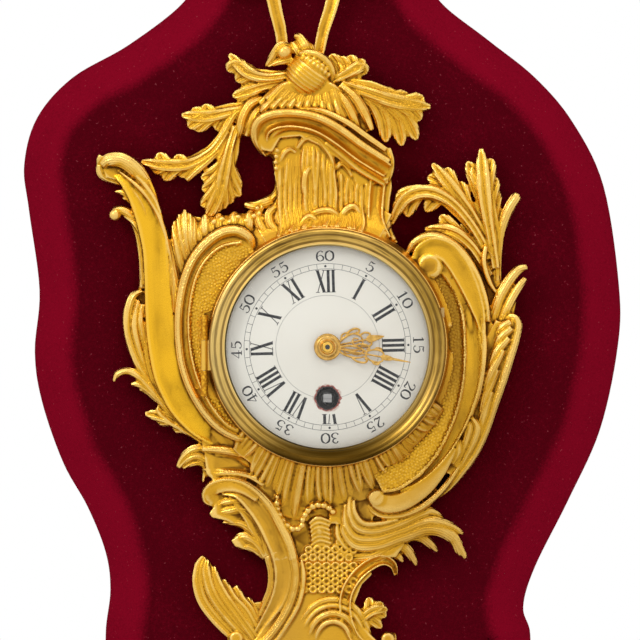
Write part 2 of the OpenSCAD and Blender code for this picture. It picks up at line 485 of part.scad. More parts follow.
// Glass: a domed crystal behind the lip of the bezel, and the thin ring that keeps it there
function dome(r, rise, steps) = [for (i = [0:steps]) [r * i / steps, rise * (1 - pow(i / steps, 2))]];
glass_r = dial_plate_r - 0.9;
module bezel_glass() color("lightcyan", 0.3) translate([0, 0, lip_z - glass_t]) rotate_extrude() polygon(concat(
    [[glass_r, 0], [glass_r, glass_t]], [for (i = [8:-1:0]) dome(sight_r - 0.1, glass_rise, 8)[i] + [0, glass_t]],
    [for (i = [0:8]) dome(sight_r - 0.1, glass_rise, 8)[i]]));
ring_t = 0.8;
module glass_ring() color("goldenrod") translate([0, 0, lip_z - glass_t - ring_t]) rotate_extrude()
    translate([sight_r + 0.4, 0]) square([glass_r - sight_r - 0.4, ring_t]);
catch_drop = 2.4;
module bezel_catch() color("goldenrod") translate([bezel_r - 2.2, 12.5, bezel_back - catch_drop])
    cube([1.4, catch_w, catch_drop]);

// Dial plate: the brass plate that carries the dial and seats in the case
dial_screw_r = dial_plate_r - 1.5;
screw_angles = [40, 160, 280];
foot_angles = [100, 220, 340];
post_angles = [60, 150, 240, 330];
foot_r = 0.9;
post_r = 2;
post_ring = 34;
motion_hole = 18;
module dial_plate() color("goldenrod") translate([0, 0, plate_back]) difference() {
    cylinder(r = dial_plate_r, h = dial_plate_t);
    translate([0, 0, -1]) cylinder(r = motion_hole, h = 5);
    translate([0, -winding_drop, -1]) cylinder(r = winding_hole_r + 2, h = 5);
    for (a = screw_angles) rotate(a) translate([dial_screw_r, 0, -1]) cylinder(r = 0.6, h = 5, $fn = 32);
    for (a = foot_angles) rotate(a) translate([post_ring, 0, -1]) cylinder(r = foot_r + 0.1, h = 5, $fn = 32);
    for (a = [0, 180]) rotate(a) translate([rod_ring, 0, -1]) cylinder(r = rod_r + run, h = 5, $fn = 32);
}
module dial_plate_screws() color("silver") for (a = screw_angles) rotate(a) translate([dial_screw_r, 0, plate_back]) {
    cylinder(r = 0.55, h = dial_plate_t, $fn = 32);
    translate([0, 0, dial_plate_t]) cylinder(r = 1, h = screw_head_t, $fn = 32);
}

// Dial: convex white enamel with holes for the hour pipe and the winding key
pipe_hole = 4;
module dial() color("ivory") translate([0, 0, plate_front]) difference() {
    rotate_extrude() polygon(concat([[pipe_hole, dial_rise * (1 - pow(pipe_hole / dial_r, 2))]],
        [for (i = [1:8]) dome(dial_r, dial_rise, 8)[i]], [[dial_r, dial_t * 0.8]],
        [for (i = [8:-1:1]) dome(dial_r - 0.4, dial_rise, 8)[i] + [0, dial_t]], [[pipe_hole, dial_t + dial_rise * (1 - pow(pipe_hole / dial_r, 2))]]));
    translate([0, -winding_drop, -1]) cylinder(r = winding_hole_r, h = 10);
}
module dial_feet() color("peru") for (a = foot_angles) rotate(a)
    translate([post_ring, 0, plate_back - 1.5]) cylinder(r = foot_r, h = dial_plate_t + 1.5, $fn = 32);
module dial_posts() color("goldenrod") for (a = post_angles) rotate(a)
    translate([post_ring, 0, fp_front]) cylinder(r = post_r, h = motion_gap, $fn = 32);

// Hands: pierced gilt hands drawn along x and turned to their place
dial_top = plate_front + dial_t + dial_rise;
hour_z = dial_top + 0.7;
minute_z = hour_z + hand_t + 0.7;
boss_r = 5.7;
module eye(x, y, r) translate([x, y]) difference() {
    circle(r);
    circle(r * 0.55);
}
module hour_shape() {
    for (s = [-1, 1]) {
        eye(boss_r + 1.8, s * 1.7, 2.1);
        eye(boss_r + 5.6, s * 3, 3.2);
        eye(boss_r + 9.6, s * 1.8, 2.2);
    }
    polygon([[boss_r - 1, -0.8], [hour_len - 8, -0.9], [hour_len - 5, -1.7], [hour_len, 0], [hour_len - 5, 1.7], [hour_len - 8, 0.9], [boss_r - 1, 0.8]]);
}
module minute_shape() {
    for (s = [-1, 1]) {
        eye(boss_r + 1.6, s * 1.5, 1.9);
        eye(boss_r + 5, s * 2.1, 2.5);
        eye(boss_r + 13.4, s * 1.5, 1.9);
        eye(boss_r + 16.4, s * 1.1, 1.5);
    }
    polygon([[boss_r - 1, -0.7], [minute_len - 9, -0.6], [minute_len - 7, -1.1], [minute_len, 0], [minute_len - 7, 1.1], [minute_len - 9, 0.6], [boss_r - 1, 0.7]]);
}
module hour_hand() color("gold") translate([0, 0, hour_z]) rotate(90 - hour_rest) linear_extrude(hand_t) difference() {
    union() {
        circle(boss_r);
        hour_shape();
    }
    circle(hour_pipe_r);
}
module minute_hand() color("gold") translate([0, 0, minute_z]) rotate(90 - minute_rest) difference() {
    union() {
        linear_extrude(hand_t) {
            circle(boss_r - 0.6);
            minute_shape();
        }
        cylinder(r1 = boss_r - 1.5, r2 = boss_r - 2.4, h = hand_t + 0.6);
    }
    translate([0, 0, -1]) cylinder(r = cannon_r, h = 5);
}
module hand_nut() color("silver") translate([0, 0, minute_z + hand_t + 0.6]) difference() {
    cylinder(r1 = 3.2, r2 = 2.6, h = 1.6);
    translate([0, 0, -1]) cylinder(r = cannon_r, h = 1.8);
}

// Wheels and pinions: straight-flanked clock teeth, wheels crossed out to four arms
function teeth(n, m, add, ded) = [for (i = [0:n - 1], q = [[-0.26, -ded], [-0.075, add], [0.075, add], [0.26, -ded]])
    let (r = n * m / 2 + q[1] * m, a = 360 * (i + q[0]) / n) [r * cos(a), r * sin(a)]];
module wheel_2d(n, m, hub, rim_w) difference() {
    polygon(teeth(n, m, 0.85, 1.3));
    difference() {
        circle(n * m / 2 - 1.3 * m - rim_w);
        circle(hub);
        for (a = [0, 90]) rotate(a) square([n * m, rim_w * 1.4], center = true);
    }
}
module pinion_2d(n, m) polygon(teeth(n, m, 0.6, 1.45));
pivot_r = 0.5;
arbor_r = 0.9;
module arbor(p, z0, z1, r = arbor_r) translate([p.x, p.y, z0]) cylinder(r = r, h = z1 - z0, $fn = 32);
module pivots(p, z0 = bp_front, z1 = fp_back) {
    arbor(p, z0 + 0.2, z1 - 0.2);
    arbor(p, z0 - plate_t, z1 + plate_t, pivot_r);
}
module toothed(p, z, t, turn = 0) translate([p.x, p.y, z]) rotate(turn) linear_extrude(t) children();

// Layout of the train: each axis stands at its pair's centre distance from the one before
barrel_n = 72;
barrel_m = 0.4;
inter_pn = 12;
inter_n = 64;
inter_m = 0.32;
centre_pn = 16;
centre_n = 80;
centre_m = 0.28;
third_pn = 10;
third_n = 75;
third_m = 0.26;
fourth_pn = 10;
fourth_n = 80;
fourth_m = 0.24;
escape_pn = 8;
function apart(a, b, m) = (a + b) * m / 2;
function polar(r, a) = r * [cos(a), sin(a)];
barrel_p = [0, -winding_drop];
inter_d = apart(inter_n, centre_pn, inter_m);
great_d = apart(barrel_n, inter_pn, barrel_m);
inter_a = acos((inter_d * inter_d + winding_drop * winding_drop - great_d * great_d) / (2 * inter_d * winding_drop));
inter_p = polar(inter_d, -90 - inter_a);
third_a = 60;
third_p = polar(apart(centre_n, third_pn, centre_m), third_a);
fourth_a = 150;
fourth_p = third_p + polar(apart(third_n, fourth_pn, third_m), fourth_a);
escape_a = 80;
escape_p = fourth_p + polar(apart(fourth_n, escape_pn, fourth_m), escape_a);
// Turn that puts a gap of the second wheel on the line of centres where the first has a tooth
function mesh_turn(n1, n2, a, turn1) = let (phase = (a - turn1) * n1 / 360) a + 180 + 180 / n2 + (phase - floor(phase)) * 360 / n2;

great_z = fp_back - 3;
inter_z = bp_front + 1.6;
centre_z = bp_front + 0.35;
third_z = fp_back - plate_gap * 0.375;
fourth_z = fp_back - plate_gap * 0.5625;

// Barrel with its great wheel, the cap, the mainspring and the winding arbor
barrel_wall = 1;
drum_in_r = 11.6;
core_r = 2.6;
cap_t = 0.8;
barrel_len = plate_gap - 4.4;
module barrel() color("goldenrod") translate([0, -winding_drop, 0]) difference() {
    union() {
        translate([0, 0, great_z]) linear_extrude(2) polygon(teeth(barrel_n, barrel_m, 0.85, 1.3));
        translate([0, 0, great_z + 2 - barrel_len + cap_t]) cylinder(r = drum_in_r + barrel_wall, h = barrel_len - cap_t - 2 + eps);
    }
    translate([0, 0, great_z - 20]) cylinder(r = drum_in_r, h = 20 + eps);
    cylinder(r = core_r + run, h = 60);
}
module barrel_cap() color("goldenrod") translate([0, -winding_drop, great_z + 2 - barrel_len]) difference() {
    cylinder(r = drum_in_r + barrel_wall, h = cap_t);
    translate([0, 0, -1]) cylinder(r = core_r + run, h = 5);
}
coils = 7;
spring_t = 0.4;
function coil(r0, r1, n, off) = [for (i = [0:n * 16]) let (a = i * 22.5, r = r0 + (r1 - r0) * i / (n * 16) + off) [r * cos(a), r * sin(a)]];
function reversed(v) = [for (i = [len(v) - 1:-1:0]) v[i]];
module mainspring() color("dimgray") translate([0, -winding_drop, great_z + 2 - barrel_len + cap_t + 0.3])
    linear_extrude(barrel_len - cap_t - 2.6) polygon(concat(coil(core_r + 0.5, drum_in_r - spring_t, coils, 0),
        reversed(coil(core_r + 0.5, drum_in_r - spring_t, coils, spring_t))));
square_z = fp_front + 0.15;
square_end = plate_front + dial_t - 0.4;
big_pivot = 2.2;
module winding_arbor() color("silver") translate([0, -winding_drop, 0]) {
    translate([0, 0, great_z + 1.4 - barrel_len]) cylinder(r = core_r, h = barrel_len + 1);
    translate([0, 0, bp_back]) cylinder(r = big_pivot, h = fp_front + 0.1 - bp_back);
    translate([-winding_sq / 2, -winding_sq / 2, fp_front + 0.05])
        cube([winding_sq, winding_sq, square_end - fp_front - 0.05]);
}

// Click work on the front plate: ratchet on the winding square, the click, its screw and its spring
ratchet_n = 24;
ratchet_r = 6;
ratchet_t = 1.2;
module ratchet_wheel() color("silver") translate([0, -winding_drop, square_z]) linear_extrude(ratchet_t) difference() {
    polygon([for (i = [0:ratchet_n - 1], q = [[0, ratchet_r], [0.12, ratchet_r - 0.9]])
        let (a = -360 * (i + q[0]) / ratchet_n) [q[1] * cos(a), q[1] * sin(a)]]);
    square(winding_sq + 0.02, center = true);
}
click_p = [10.5, -winding_drop - 5];
click_tip = ratchet_r + 0.1;
click_bore = 0.8;
module click() color("silver") translate([0, 0, square_z]) difference() {
    linear_extrude(ratchet_t) polygon(concat([[click_tip * cos(8) + 1.2, -winding_drop + click_tip * sin(8) + 1],
        [click_tip * cos(8), -winding_drop + click_tip * sin(8)]],
        [for (a = [170:20:370]) click_p + 2 * [cos(a), sin(a)]]));
    translate([click_p.x, click_p.y, -1]) cylinder(r = click_bore + run, h = 5, $fn = 32);
}
module click_screw() color("silver") translate([click_p.x, click_p.y, fp_front]) {
    cylinder(r = click_bore, h = ratchet_t + 0.4, $fn = 32);
    translate([0, 0, ratchet_t + 0.4]) cylinder(r = 1.8, h = 0.8, $fn = 32);
}
spring_p = [20, -winding_drop + 4];
module click_spring() color("silver") translate([0, 0, fp_front]) difference() {
    linear_extrude(ratchet_t) polygon(concat([for (a = [-80:20:140]) spring_p + 1.8 * [cos(a), sin(a)]],
        [[click_p.x + 0.3, -winding_drop - 0.5], [click_p.x + 0.7, -winding_drop - 1.2]]));
    translate([spring_p.x, spring_p.y, -1]) cylinder(r = 0.7, h = 5, $fn = 32);
}

// Plates: two round brass plates held apart by four pillars
pillar_ring = 34;
pillar_angles = [45, 135, 225, 315];
pillar_r = 2.4;
pillar_screw_r = 1.2;
module plate_holes() {
    translate([barrel_p.x, barrel_p.y, -1]) cylinder(r = big_pivot + run, h = 5);
    for (p = [inter_p, third_p, fourth_p]) translate([p.x, p.y, -1]) cylinder(r = pivot_r + run, h = 5, $fn = 32);
    for (a = pillar_angles) rotate(a) translate([pillar_ring, 0, -1]) cylinder(r = pillar_screw_r + 0.1, h = 5, $fn = 32);
}
module front_plate() color("goldenrod") translate([0, 0, fp_back]) difference() {
    cylinder(r = plate_r, h = plate_t);
    plate_holes();
    translate([0, 0, -1]) cylinder(r = centre_r + run, h = 5, $fn = 32);
    translate([escape_p.x, escape_p.y, -1]) cylinder(r = pivot_r + run, h = 5, $fn = 32);
}
module back_plate() color("goldenrod") translate([0, 0, bp_back]) difference() {
    cylinder(r = plate_r, h = plate_t);
    plate_holes();
    translate([0, 0, -1]) cylinder(r = pivot_r + run, h = 5, $fn = 32);
    translate([escape_p.x, escape_p.y, -1]) cylinder(r = 2, h = 5, $fn = 32);
}
module plate_pillars() color("goldenrod") for (a = pillar_angles) rotate(a) translate([pillar_ring, 0, bp_front]) difference() {
    union() {
        cylinder(r = pillar_r, h = plate_gap);
        for (z = [2, plate_gap - 3]) translate([0, 0, z]) cylinder(r = pillar_r + 0.6, h = 1);
    }
    translate([0, 0, -1]) cylinder(r = pillar_screw_r + 0.05, h = plate_gap + 2, $fn = 32);
}
module pillar_screws() color("silver") for (a = pillar_angles) rotate(a) translate([pillar_ring, 0, 0]) {
    for (z = [fp_front, bp_back - 1]) translate([0, 0, z]) cylinder(r = 2.4, h = 1, $fn = 32);
    translate([0, 0, bp_back - eps]) cylinder(r = pillar_screw_r, h = fp_front - bp_back + 2 * eps, $fn = 32);
}

// Going train: each wheel stands on its own arbor with its pinion
centre_r = 1.4;
inter_turn = mesh_turn(barrel_n, inter_pn, atan2(inter_p.y - barrel_p.y, inter_p.x - barrel_p.x), 0);
centre_turn = mesh_turn(inter_n, centre_pn, atan2(-inter_p.y, -inter_p.x), inter_turn);
third_turn = mesh_turn(centre_n, third_pn, third_a, centre_turn);
fourth_turn = mesh_turn(third_n, fourth_pn, fourth_a, third_turn);
escape_turn = mesh_turn(fourth_n, escape_pn, escape_a, fourth_turn);
module intermediate_wheel() color("goldenrod") {
    pivots(inter_p);
    toothed(inter_p, great_z - 0.3, 2.6, inter_turn) pinion_2d(inter_pn, barrel_m);
    toothed(inter_p, inter_z, 1, inter_turn) wheel_2d(inter_n, inter_m, 3, 1.4);
}
module centre_wheel() color("goldenrod") {
    arbor([0, 0], bp_front + 0.2, fp_back - 0.2, 1.2 + arbor_r);
    arbor([0, 0], bp_back, bp_front + 1, pivot_r);
    arbor([0, 0], fp_back - 1, minute_z + hand_t + 1.4, centre_r);
    toothed([0, 0], inter_z - 0.2, 1.8, centre_turn) pinion_2d(centre_pn, inter_m);
    toothed([0, 0], centre_z, 0.9, centre_turn) wheel_2d(centre_n, centre_m, 3.4, 1.4);
}
module third_wheel() color("goldenrod") {
    pivots(third_p);
    toothed(third_p, centre_z - 0.1, 1.6, third_turn) pinion_2d(third_pn, centre_m);
    toothed(third_p, third_z, 0.9, third_turn) wheel_2d(third_n, third_m, 2.6, 1.3);
}
module fourth_wheel() color("goldenrod") {
    pivots(fourth_p);
    toothed(fourth_p, third_z - 0.2, 1.3, fourth_turn) pinion_2d(fourth_pn, third_m);
    toothed(fourth_p, fourth_z, 0.8, fourth_turn) wheel_2d(fourth_n, fourth_m, 2.4, 1.2);
}

// Motion work under the dial: cannon pinion, minute wheel on its post, and hour wheel
cannon_n = 12;
minute_n = 36;
minute_pn = 10;
hour_n = 40;
motion_m = 0.4;
motion_d = apart(cannon_n, minute_n, motion_m);
hour_m = 2 * motion_d / (minute_pn + hour_n);
motion_a = -30;
motion_p = polar(motion_d, motion_a);
cannon_r = 2;
hour_pipe_in = cannon_r + 0.05;
hour_pipe_r = hour_pipe_in + 0.7;
cannon_z = fp_front + 0.5;
hour_wheel_z = cannon_z + 1.9;
minute_turn = mesh_turn(cannon_n, minute_n, motion_a, 0);
hour_turn = mesh_turn(minute_pn, hour_n, motion_a + 180, minute_turn);
module cannon_pinion() color("silver") difference() {
    union() {
        toothed([0, 0], cannon_z, 1.4) pinion_2d(cannon_n, motion_m);
        arbor([0, 0], cannon_z + 0.2, minute_z + hand_t + 1.4, cannon_r);
    }
    arbor([0, 0], fp_front, minute_z + 10, centre_r + run);
}
module minute_wheel() color("goldenrod") difference() {
    union() {
        toothed(motion_p, cannon_z + 0.2, 1, minute_turn) wheel_2d(minute_n, motion_m, 3, 1.4);
        toothed(motion_p, cannon_z + 1, 2.2, minute_turn) pinion_2d(minute_pn, hour_m);
    }
    arbor(motion_p, fp_front, plate_front, 0.7 + run);
}
module minute_post() color("silver") {
    arbor(motion_p, fp_front, cannon_z + 3.4, 0.7);
    arbor(motion_p, fp_front, cannon_z, 1.4);
}
module hour_wheel() color("goldenrod") difference() {
    union() {
        toothed([0, 0], hour_wheel_z, 1, hour_turn) wheel_2d(hour_n, hour_m, 4, 1.4);
        arbor([0, 0], hour_wheel_z, hour_z + hand_t, hour_pipe_r - eps);
    }
    arbor([0, 0], fp_front, minute_z, hour_pipe_in);
}

// Platform escapement on the back plate: platform, bridge, escape wheel, lever, balance, spring and cock
plat_back = bp_back - plat_t;
// Platform pieces are placed along the line from the escape wheel to the balance
lever_a = 200;
function lever_at(u, v) = escape_p + u * [cos(lever_a), sin(lever_a)] + v * [-sin(lever_a), cos(lever_a)];
lever_u = 5.2;
plat_c = lever_at(5.4, 0);
plat_r = 11;
lever_p = lever_at(lever_u, 0);
balance_p = lever_at(11, 0);
escape_z = plat_back - 1.7;
bridge_z = plat_back - 3.7;
balance_z = plat_back - 5.6;
cock_z = plat_back - cock_h;
cock_p = plat_c + polar(8.6, 305);
bridge_p = plat_c + polar(8.6, 110);
module platform() color("goldenrod") translate([0, 0, plat_back]) difference() {
    translate(plat_c) cylinder(r = plat_r, h = plat_t);
    translate([escape_p.x, escape_p.y, -1]) cylinder(r = 2, h = 5, $fn = 32);
    for (p = [lever_p, balance_p]) translate([p.x, p.y, -1]) cylinder(r = 0.2 + run, h = 5, $fn = 32);
}
module escape_bridge() color("goldenrod") difference() {
    union() {
        translate([0, 0, bridge_z]) linear_extrude(0.8) {
            translate(escape_p) circle(1.6);
            translate(lever_p) circle(1.3);
            translate(bridge_p) circle(1.8);
            polygon([escape_p + [1, -1], escape_p + [0.6, 1.4], bridge_p + [1.2, 1.2], bridge_p + [-1.6, -0.6], lever_p + [-0.9, -0.9]]);
        }
        translate([bridge_p.x, bridge_p.y, bridge_z]) cylinder(r = 1.8, h = plat_back - bridge_z, $fn = 32);
    }
    arbor(escape_p, bridge_z - 1, bridge_z + 2, 0.3 + run);
    arbor(lever_p, bridge_z - 1, bridge_z + 2, 0.2 + run);
}
escape_n = 15;
escape_r = 4;
module escape_wheel() color("silver") {
    arbor(escape_p, bridge_z + 1, fp_back - 0.2, 0.6);
    arbor(escape_p, bridge_z, bridge_z + 1.2, 0.3);
    arbor(escape_p, fp_back - 0.4, fp_front, pivot_r);
    toothed(escape_p, fourth_z - 0.2, 1.2, escape_turn) pinion_2d(escape_pn, fourth_m);
    toothed(escape_p, escape_z, 0.6) difference() {
        polygon([for (i = [0:escape_n - 1], q = [[0, escape_r], [0.12, escape_r - 0.05], [0.3, escape_r - 1], [0.85, escape_r - 1]])
            let (a = 360 * (i + q[0]) / escape_n) [q[1] * cos(a), q[1] * sin(a)]]);
        difference() {
            circle(escape_r - 1.6);
            circle(1.2);
            square([10, 0.8], center = true);
        }
    }
}
// The pallet stones stand just clear of the escape teeth, and the fork just clear of the roller pin
stone_d = escape_r + 0.12;
stone_a = 40;
fork_u = 9.05;
module pallet_lever() color("silver") {
    arbor(lever_p, bridge_z, plat_back + plat_t, 0.2);
    arbor(lever_p, bridge_z + 1, plat_back - 0.2, 0.5);
    toothed([0, 0], escape_z, 0.6) {
        for (s = [-1, 1]) polygon([lever_at(stone_d * cos(stone_a), s * stone_d * sin(stone_a)),
            lever_at((stone_d + 0.9) * cos(stone_a), s * (stone_d + 0.9) * sin(stone_a)),
            lever_at(lever_u + 0.6, s * 0.4), lever_at(lever_u - 0.2, s * 0.2)]);
        translate(lever_p) circle(0.9);
        polygon([lever_at(lever_u, 0.5), lever_at(lever_u, -0.5), lever_at(fork_u, -0.6), lever_at(fork_u - 0.8, 0),
            lever_at(fork_u, 0.6)]);
    }
}
roller_d = 1.4;
balance_r = 7;
module balance_wheel() color("goldenrod") {
    arbor(balance_p, cock_z, plat_back + plat_t, 0.2);
    arbor(balance_p, cock_z + 1.4, plat_back - 0.3, 0.5);
    arbor(balance_p, bridge_z + 0.1, bridge_z + 0.6, 1.8);
    arbor(balance_p + polar(roller_d, 20), bridge_z + 0.3, plat_back - 0.6, 0.2);
    toothed(balance_p, balance_z, 1.1) {
        difference() {
            circle(balance_r);
            circle(balance_r - 1);
        }
        square([balance_r * 2 - 1, 1.2], center = true);
        circle(1.4);
    }
}
module hairspring() color("steelblue") translate([balance_p.x, balance_p.y, balance_z - 1]) difference() {
    union() {
        cylinder(r = 1, h = 0.6, $fn = 32);
        linear_extrude(0.4) polygon(concat(coil(0.8, 4, 5, 0), reversed(coil(0.8, 4, 5, 0.15))));
    }
    translate([0, 0, -1]) cylinder(r = 0.5, h = 5, $fn = 32);
}
module balance_cock() color("goldenrod") difference() {
    union() {
        translate([0, 0, cock_z]) linear_extrude(1.2) {
            translate(balance_p) circle(2.2);
            translate(cock_p) circle(2.2);
            polygon([balance_p + [0, 2], balance_p + [-1.5, -1.6], cock_p + [-1.2, -1.8], cock_p + [1, 2]]);
        }
        translate([cock_p.x, cock_p.y, cock_z]) cylinder(r = 2.2, h = plat_back - cock_z, $fn = 32);
    }
    arbor(balance_p, cock_z - 1, cock_z + 3, 0.2 + run);
    arbor(cock_p, cock_z - 1, plat_back + 1, 0.7);
}
module cock_screws() color("silver") {
    arbor(cock_p, cock_z, plat_back, 0.65);
    arbor(cock_p, cock_z - screw_t, cock_z, 1.4);
}

// Movement case: a dust drum behind the dial plate, its rear cover, and two rods that tie them
rod_r = 1.1;
rod_ring = plate_r + 1.6;
module movement_drum() color("goldenrod") translate([0, 0, cover_back + cover_t]) difference() {
    cylinder(r = drum_r, h = plate_back - cover_back - cover_t);
    translate([0, 0, -1]) cylinder(r = drum_r - drum_wall, h = 60);
}
module rear_cover() color("goldenrod") translate([0, 0, cover_back]) difference() {
    cylinder(r = drum_r, h = cover_t);
    for (a = [0, 180]) rotate(a) translate([rod_ring, 0, -1]) cylinder(r = rod_r + run, h = 5, $fn = 32);
    for (a = [0:60:300]) rotate(a) translate([22, 0, -1]) cylinder(r = 3, h = 5, $fn = 32);
}
module tie_rods() color("silver") for (a = [0, 180]) rotate(a) translate([rod_ring, 0, cover_back - 0.8]) {
    cylinder(r = 2, h = 0.8, $fn = 32);
    cylinder(r = rod_r, h = plate_front - cover_back + 0.8 - 0.1, $fn = 32);
}

hung() backing_board();
hung() velvet_cover();
hung() wall_hanger();
hung() hanger_screws();
hung() case_casting();
hung() crest_casting();
hung() apron_casting();
hung() ribbon_bow();
hung() fixing_studs();
hung() stud_washers();
hung() stud_nuts();
hung() hinge_leaf();
hung() hinge_screws();
hung() hinge_pin();
hung() bezel();
hung() bezel_glass();
hung() glass_ring();
hung() bezel_catch();
hung() dial_plate();
hung() dial_plate_screws();
hung() dial();
hung() dial_feet();
hung() dial_posts();
hung() hour_hand();
hung() minute_hand();
hung() hand_nut();
hung() front_plate();
hung() back_plate();
hung() plate_pillars();
hung() pillar_screws();
hung() movement_drum();
hung() rear_cover();
hung() tie_rods();
hung() barrel();
hung() barrel_cap();
hung() mainspring();
hung() winding_arbor();
hung() ratchet_wheel();
hung() click();
hung() click_screw();
hung() click_spring();
hung() intermediate_wheel();
hung() centre_wheel();
hung() third_wheel();
hung() fourth_wheel();
hung() cannon_pinion();
hung() minute_wheel();
hung() minute_post();
hung() hour_wheel();
hung() platform();
hung() escape_bridge();
hung() escape_wheel();
hung() pallet_lever();
hung() balance_wheel();
hung() hairspring();
hung() balance_cock();
hung() cock_screws();
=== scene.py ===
import math
import bpy
import numpy as np
from mathutils.bvhtree import BVHTree
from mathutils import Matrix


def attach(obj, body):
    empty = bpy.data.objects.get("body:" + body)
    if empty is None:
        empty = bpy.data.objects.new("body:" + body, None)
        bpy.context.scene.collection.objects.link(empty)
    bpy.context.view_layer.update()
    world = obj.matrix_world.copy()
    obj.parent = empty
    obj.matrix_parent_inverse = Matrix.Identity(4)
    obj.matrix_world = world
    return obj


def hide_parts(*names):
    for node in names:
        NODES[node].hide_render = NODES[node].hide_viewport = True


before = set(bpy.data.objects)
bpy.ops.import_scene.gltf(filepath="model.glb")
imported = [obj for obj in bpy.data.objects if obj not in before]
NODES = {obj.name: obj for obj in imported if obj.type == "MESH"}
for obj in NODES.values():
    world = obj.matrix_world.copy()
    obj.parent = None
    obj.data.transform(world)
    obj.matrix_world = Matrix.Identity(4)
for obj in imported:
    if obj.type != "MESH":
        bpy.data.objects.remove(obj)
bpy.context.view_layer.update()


class Tone:
    """A value or a colour on its way through the nodes of one finish."""

    def __init__(self, finish, socket):
        self.finish = finish
        self.socket = socket

    def maths(self, how, other, turned=False):
        pair = (other, self) if turned else (self, other)
        return self.finish.add("ShaderNodeMath", {"operation": how}, {0: pair[0], 1: pair[1]})

    def __add__(self, other):
        return self.maths("ADD", other)

    def __radd__(self, other):
        return self.maths("ADD", other, True)

    def __sub__(self, other):
        return self.maths("SUBTRACT", other)

    def __rsub__(self, other):
        return self.maths("SUBTRACT", other, True)

    def __mul__(self, other):
        return self.maths("MULTIPLY", other)

    def __rmul__(self, other):
        return self.maths("MULTIPLY", other, True)


class Finish:
    """A material with one Principled surface and a method that adds any node to it."""

    def __init__(self, name, **constants):
        self.material = bpy.data.materials.new(name)
        self.material.use_nodes = True
        self.tree = self.material.node_tree
        self.surface = self.tree.nodes["Principled BSDF"]
        for socket, value in constants.items():
            self.surface.inputs[socket.replace("_", " ")].default_value = value

    def add(self, kind, settings=None, sockets=None, out=0):
        node = self.tree.nodes.new(kind)
        for key, value in (settings or {}).items():
            setattr(node, key, value)
        for key, value in (sockets or {}).items():
            if isinstance(value, Tone):
                self.tree.links.new(value.socket, node.inputs[key])
            else:
                node.inputs[key].default_value = value
        return Tone(self, node.outputs[out])

    def feed(self, socket, tone):
        self.tree.links.new(tone.socket, self.surface.inputs[socket])

    def place(self, scale=(1, 1, 1), shift=(0, 0, 0)):
        where = self.add("ShaderNodeTexCoord", out=3)
        return self.add("ShaderNodeMapping", {}, {"Vector": where, "Scale": scale, "Location": shift})

    def noise(self, scale, detail=3.0, where=None, rough=0.5):
        return self.add("ShaderNodeTexNoise", {}, {"Vector": where or self.place(), "Scale": scale,
                                                   "Detail": detail, "Roughness": rough})

    def span(self, tone, low, high):
        return self.add("ShaderNodeMapRange", {"interpolation_type": "SMOOTHSTEP"},
                        {"Value": tone, "From Min": low, "From Max": high})

    def mix(self, share, first, second):
        pair = [(*colour, 1) if isinstance(colour, tuple) else colour for colour in (first, second)]
        return self.add("ShaderNodeMix", {"data_type": "RGBA"}, {0: share, 6: pair[0], 7: pair[1]}, 2)

    def bump(self, height, strength, distance):
        sockets = {"Height": height, "Strength": strength, "Distance": distance}
        self.feed("Normal", self.add("ShaderNodeBump", {}, sockets))


def dress(finish, *names):
    for name in names:
        NODES[name].data.materials.clear()
        NODES[name].data.materials.append(finish.material)


wood = Finish("board_wood", Roughness=0.7)
grain_lines = wood.noise(1.0, 6.0, wood.place(scale=(420, 60, 18)), 0.6)
wood.feed("Base Color", wood.mix(wood.span(grain_lines, 0.3, 0.75), (0.42, 0.25, 0.12), (0.62, 0.42, 0.22)))
wood.feed("Roughness", 0.6 + grain_lines * 0.25)
wood.bump(grain_lines, 0.35, 0.0004)
dress(wood, "backing_board")

# Velvet: one crimson cut-pile cloth stretched over the board's face and bevel and turned over its back.
# The field is deep burgundy; the bevel and the rounded edges are painted lighter, as painted sheen of the
# pile.
MM = 0.001
DIAL_DROP = 165
FRONT = 22.4
OUTLINE = [(-56, 160), (-61, 146), (-84, 128), (-108, 114), (-123, 97), (-128.5, 77), (-126.5, 58),
           (-122, 24), (-124, -2), (-121, -23), (-112, -49), (-101.5, -68), (-94, -87), (-92, -103),
           (-94, -122), (-92, -145), (-76, -163), (-50, -172), (-25, -183), (-4, -188), (17, -183),
           (42, -172), (68, -163), (84, -145), (86, -122), (83, -110), (88, -93), (102, -65), (115.5, -35),
           (123, 0), (123.5, 26), (117, 68), (104, 95), (88, 114), (68, 130), (48, 146), (42, 160),
           (46, 178), (38, 198), (18, 208), (-8, 211), (-34, 208), (-54, 198), (-61, 178)]
VELVET_STEPS = 308
VELVET_WRAP = [(16, 0.1), (9, 0.1), (3, 0.1), (1, 0.35), (0.25, 1.1), (0.1, 2.4), (0.1, 5), (0.1, 8.2),
               (0.35, 9.7), (1.3, 10.9), (4, 13), (8, 16.1), (12, 19.2), (14, 20.7), (15.6, 21.7),
               (17, 22.2), (18.4, 22.38)]
BOARD_HOLE = 43
HOLE_STEPS = 96
CLOTH_THICK = 0.7


def smooth_line(marks, count, closed=False):
    """Places on a smooth curve through given marks."""
    marks = np.array(marks, float)
    last = len(marks) - (0 if closed else 1)
    run = np.linspace(0, last, count, endpoint=not closed)
    first = np.minimum(run.astype(int), last - 1)
    part = (run - first)[:, None]

    def mark(index):
        return marks[index % len(marks)] if closed else marks[np.clip(index, 0, len(marks) - 1)]

    a, b, c, d = mark(first - 1), mark(first), mark(first + 1), mark(first + 2)
    return 0.5 * (2 * b + (c - a) * part + (2 * a - 5 * b + 4 * c - d) * part ** 2
                  + (3 * b - a - 3 * c + d) * part ** 3)


def hang(points):
    """Dial drawing in millimetres (right, up, out from the wall) to the frame in metres."""
    points = np.asarray(points, float)
    return np.stack([points[:, 0], -points[:, 2], points[:, 1] - DIAL_DROP], axis=1) * MM


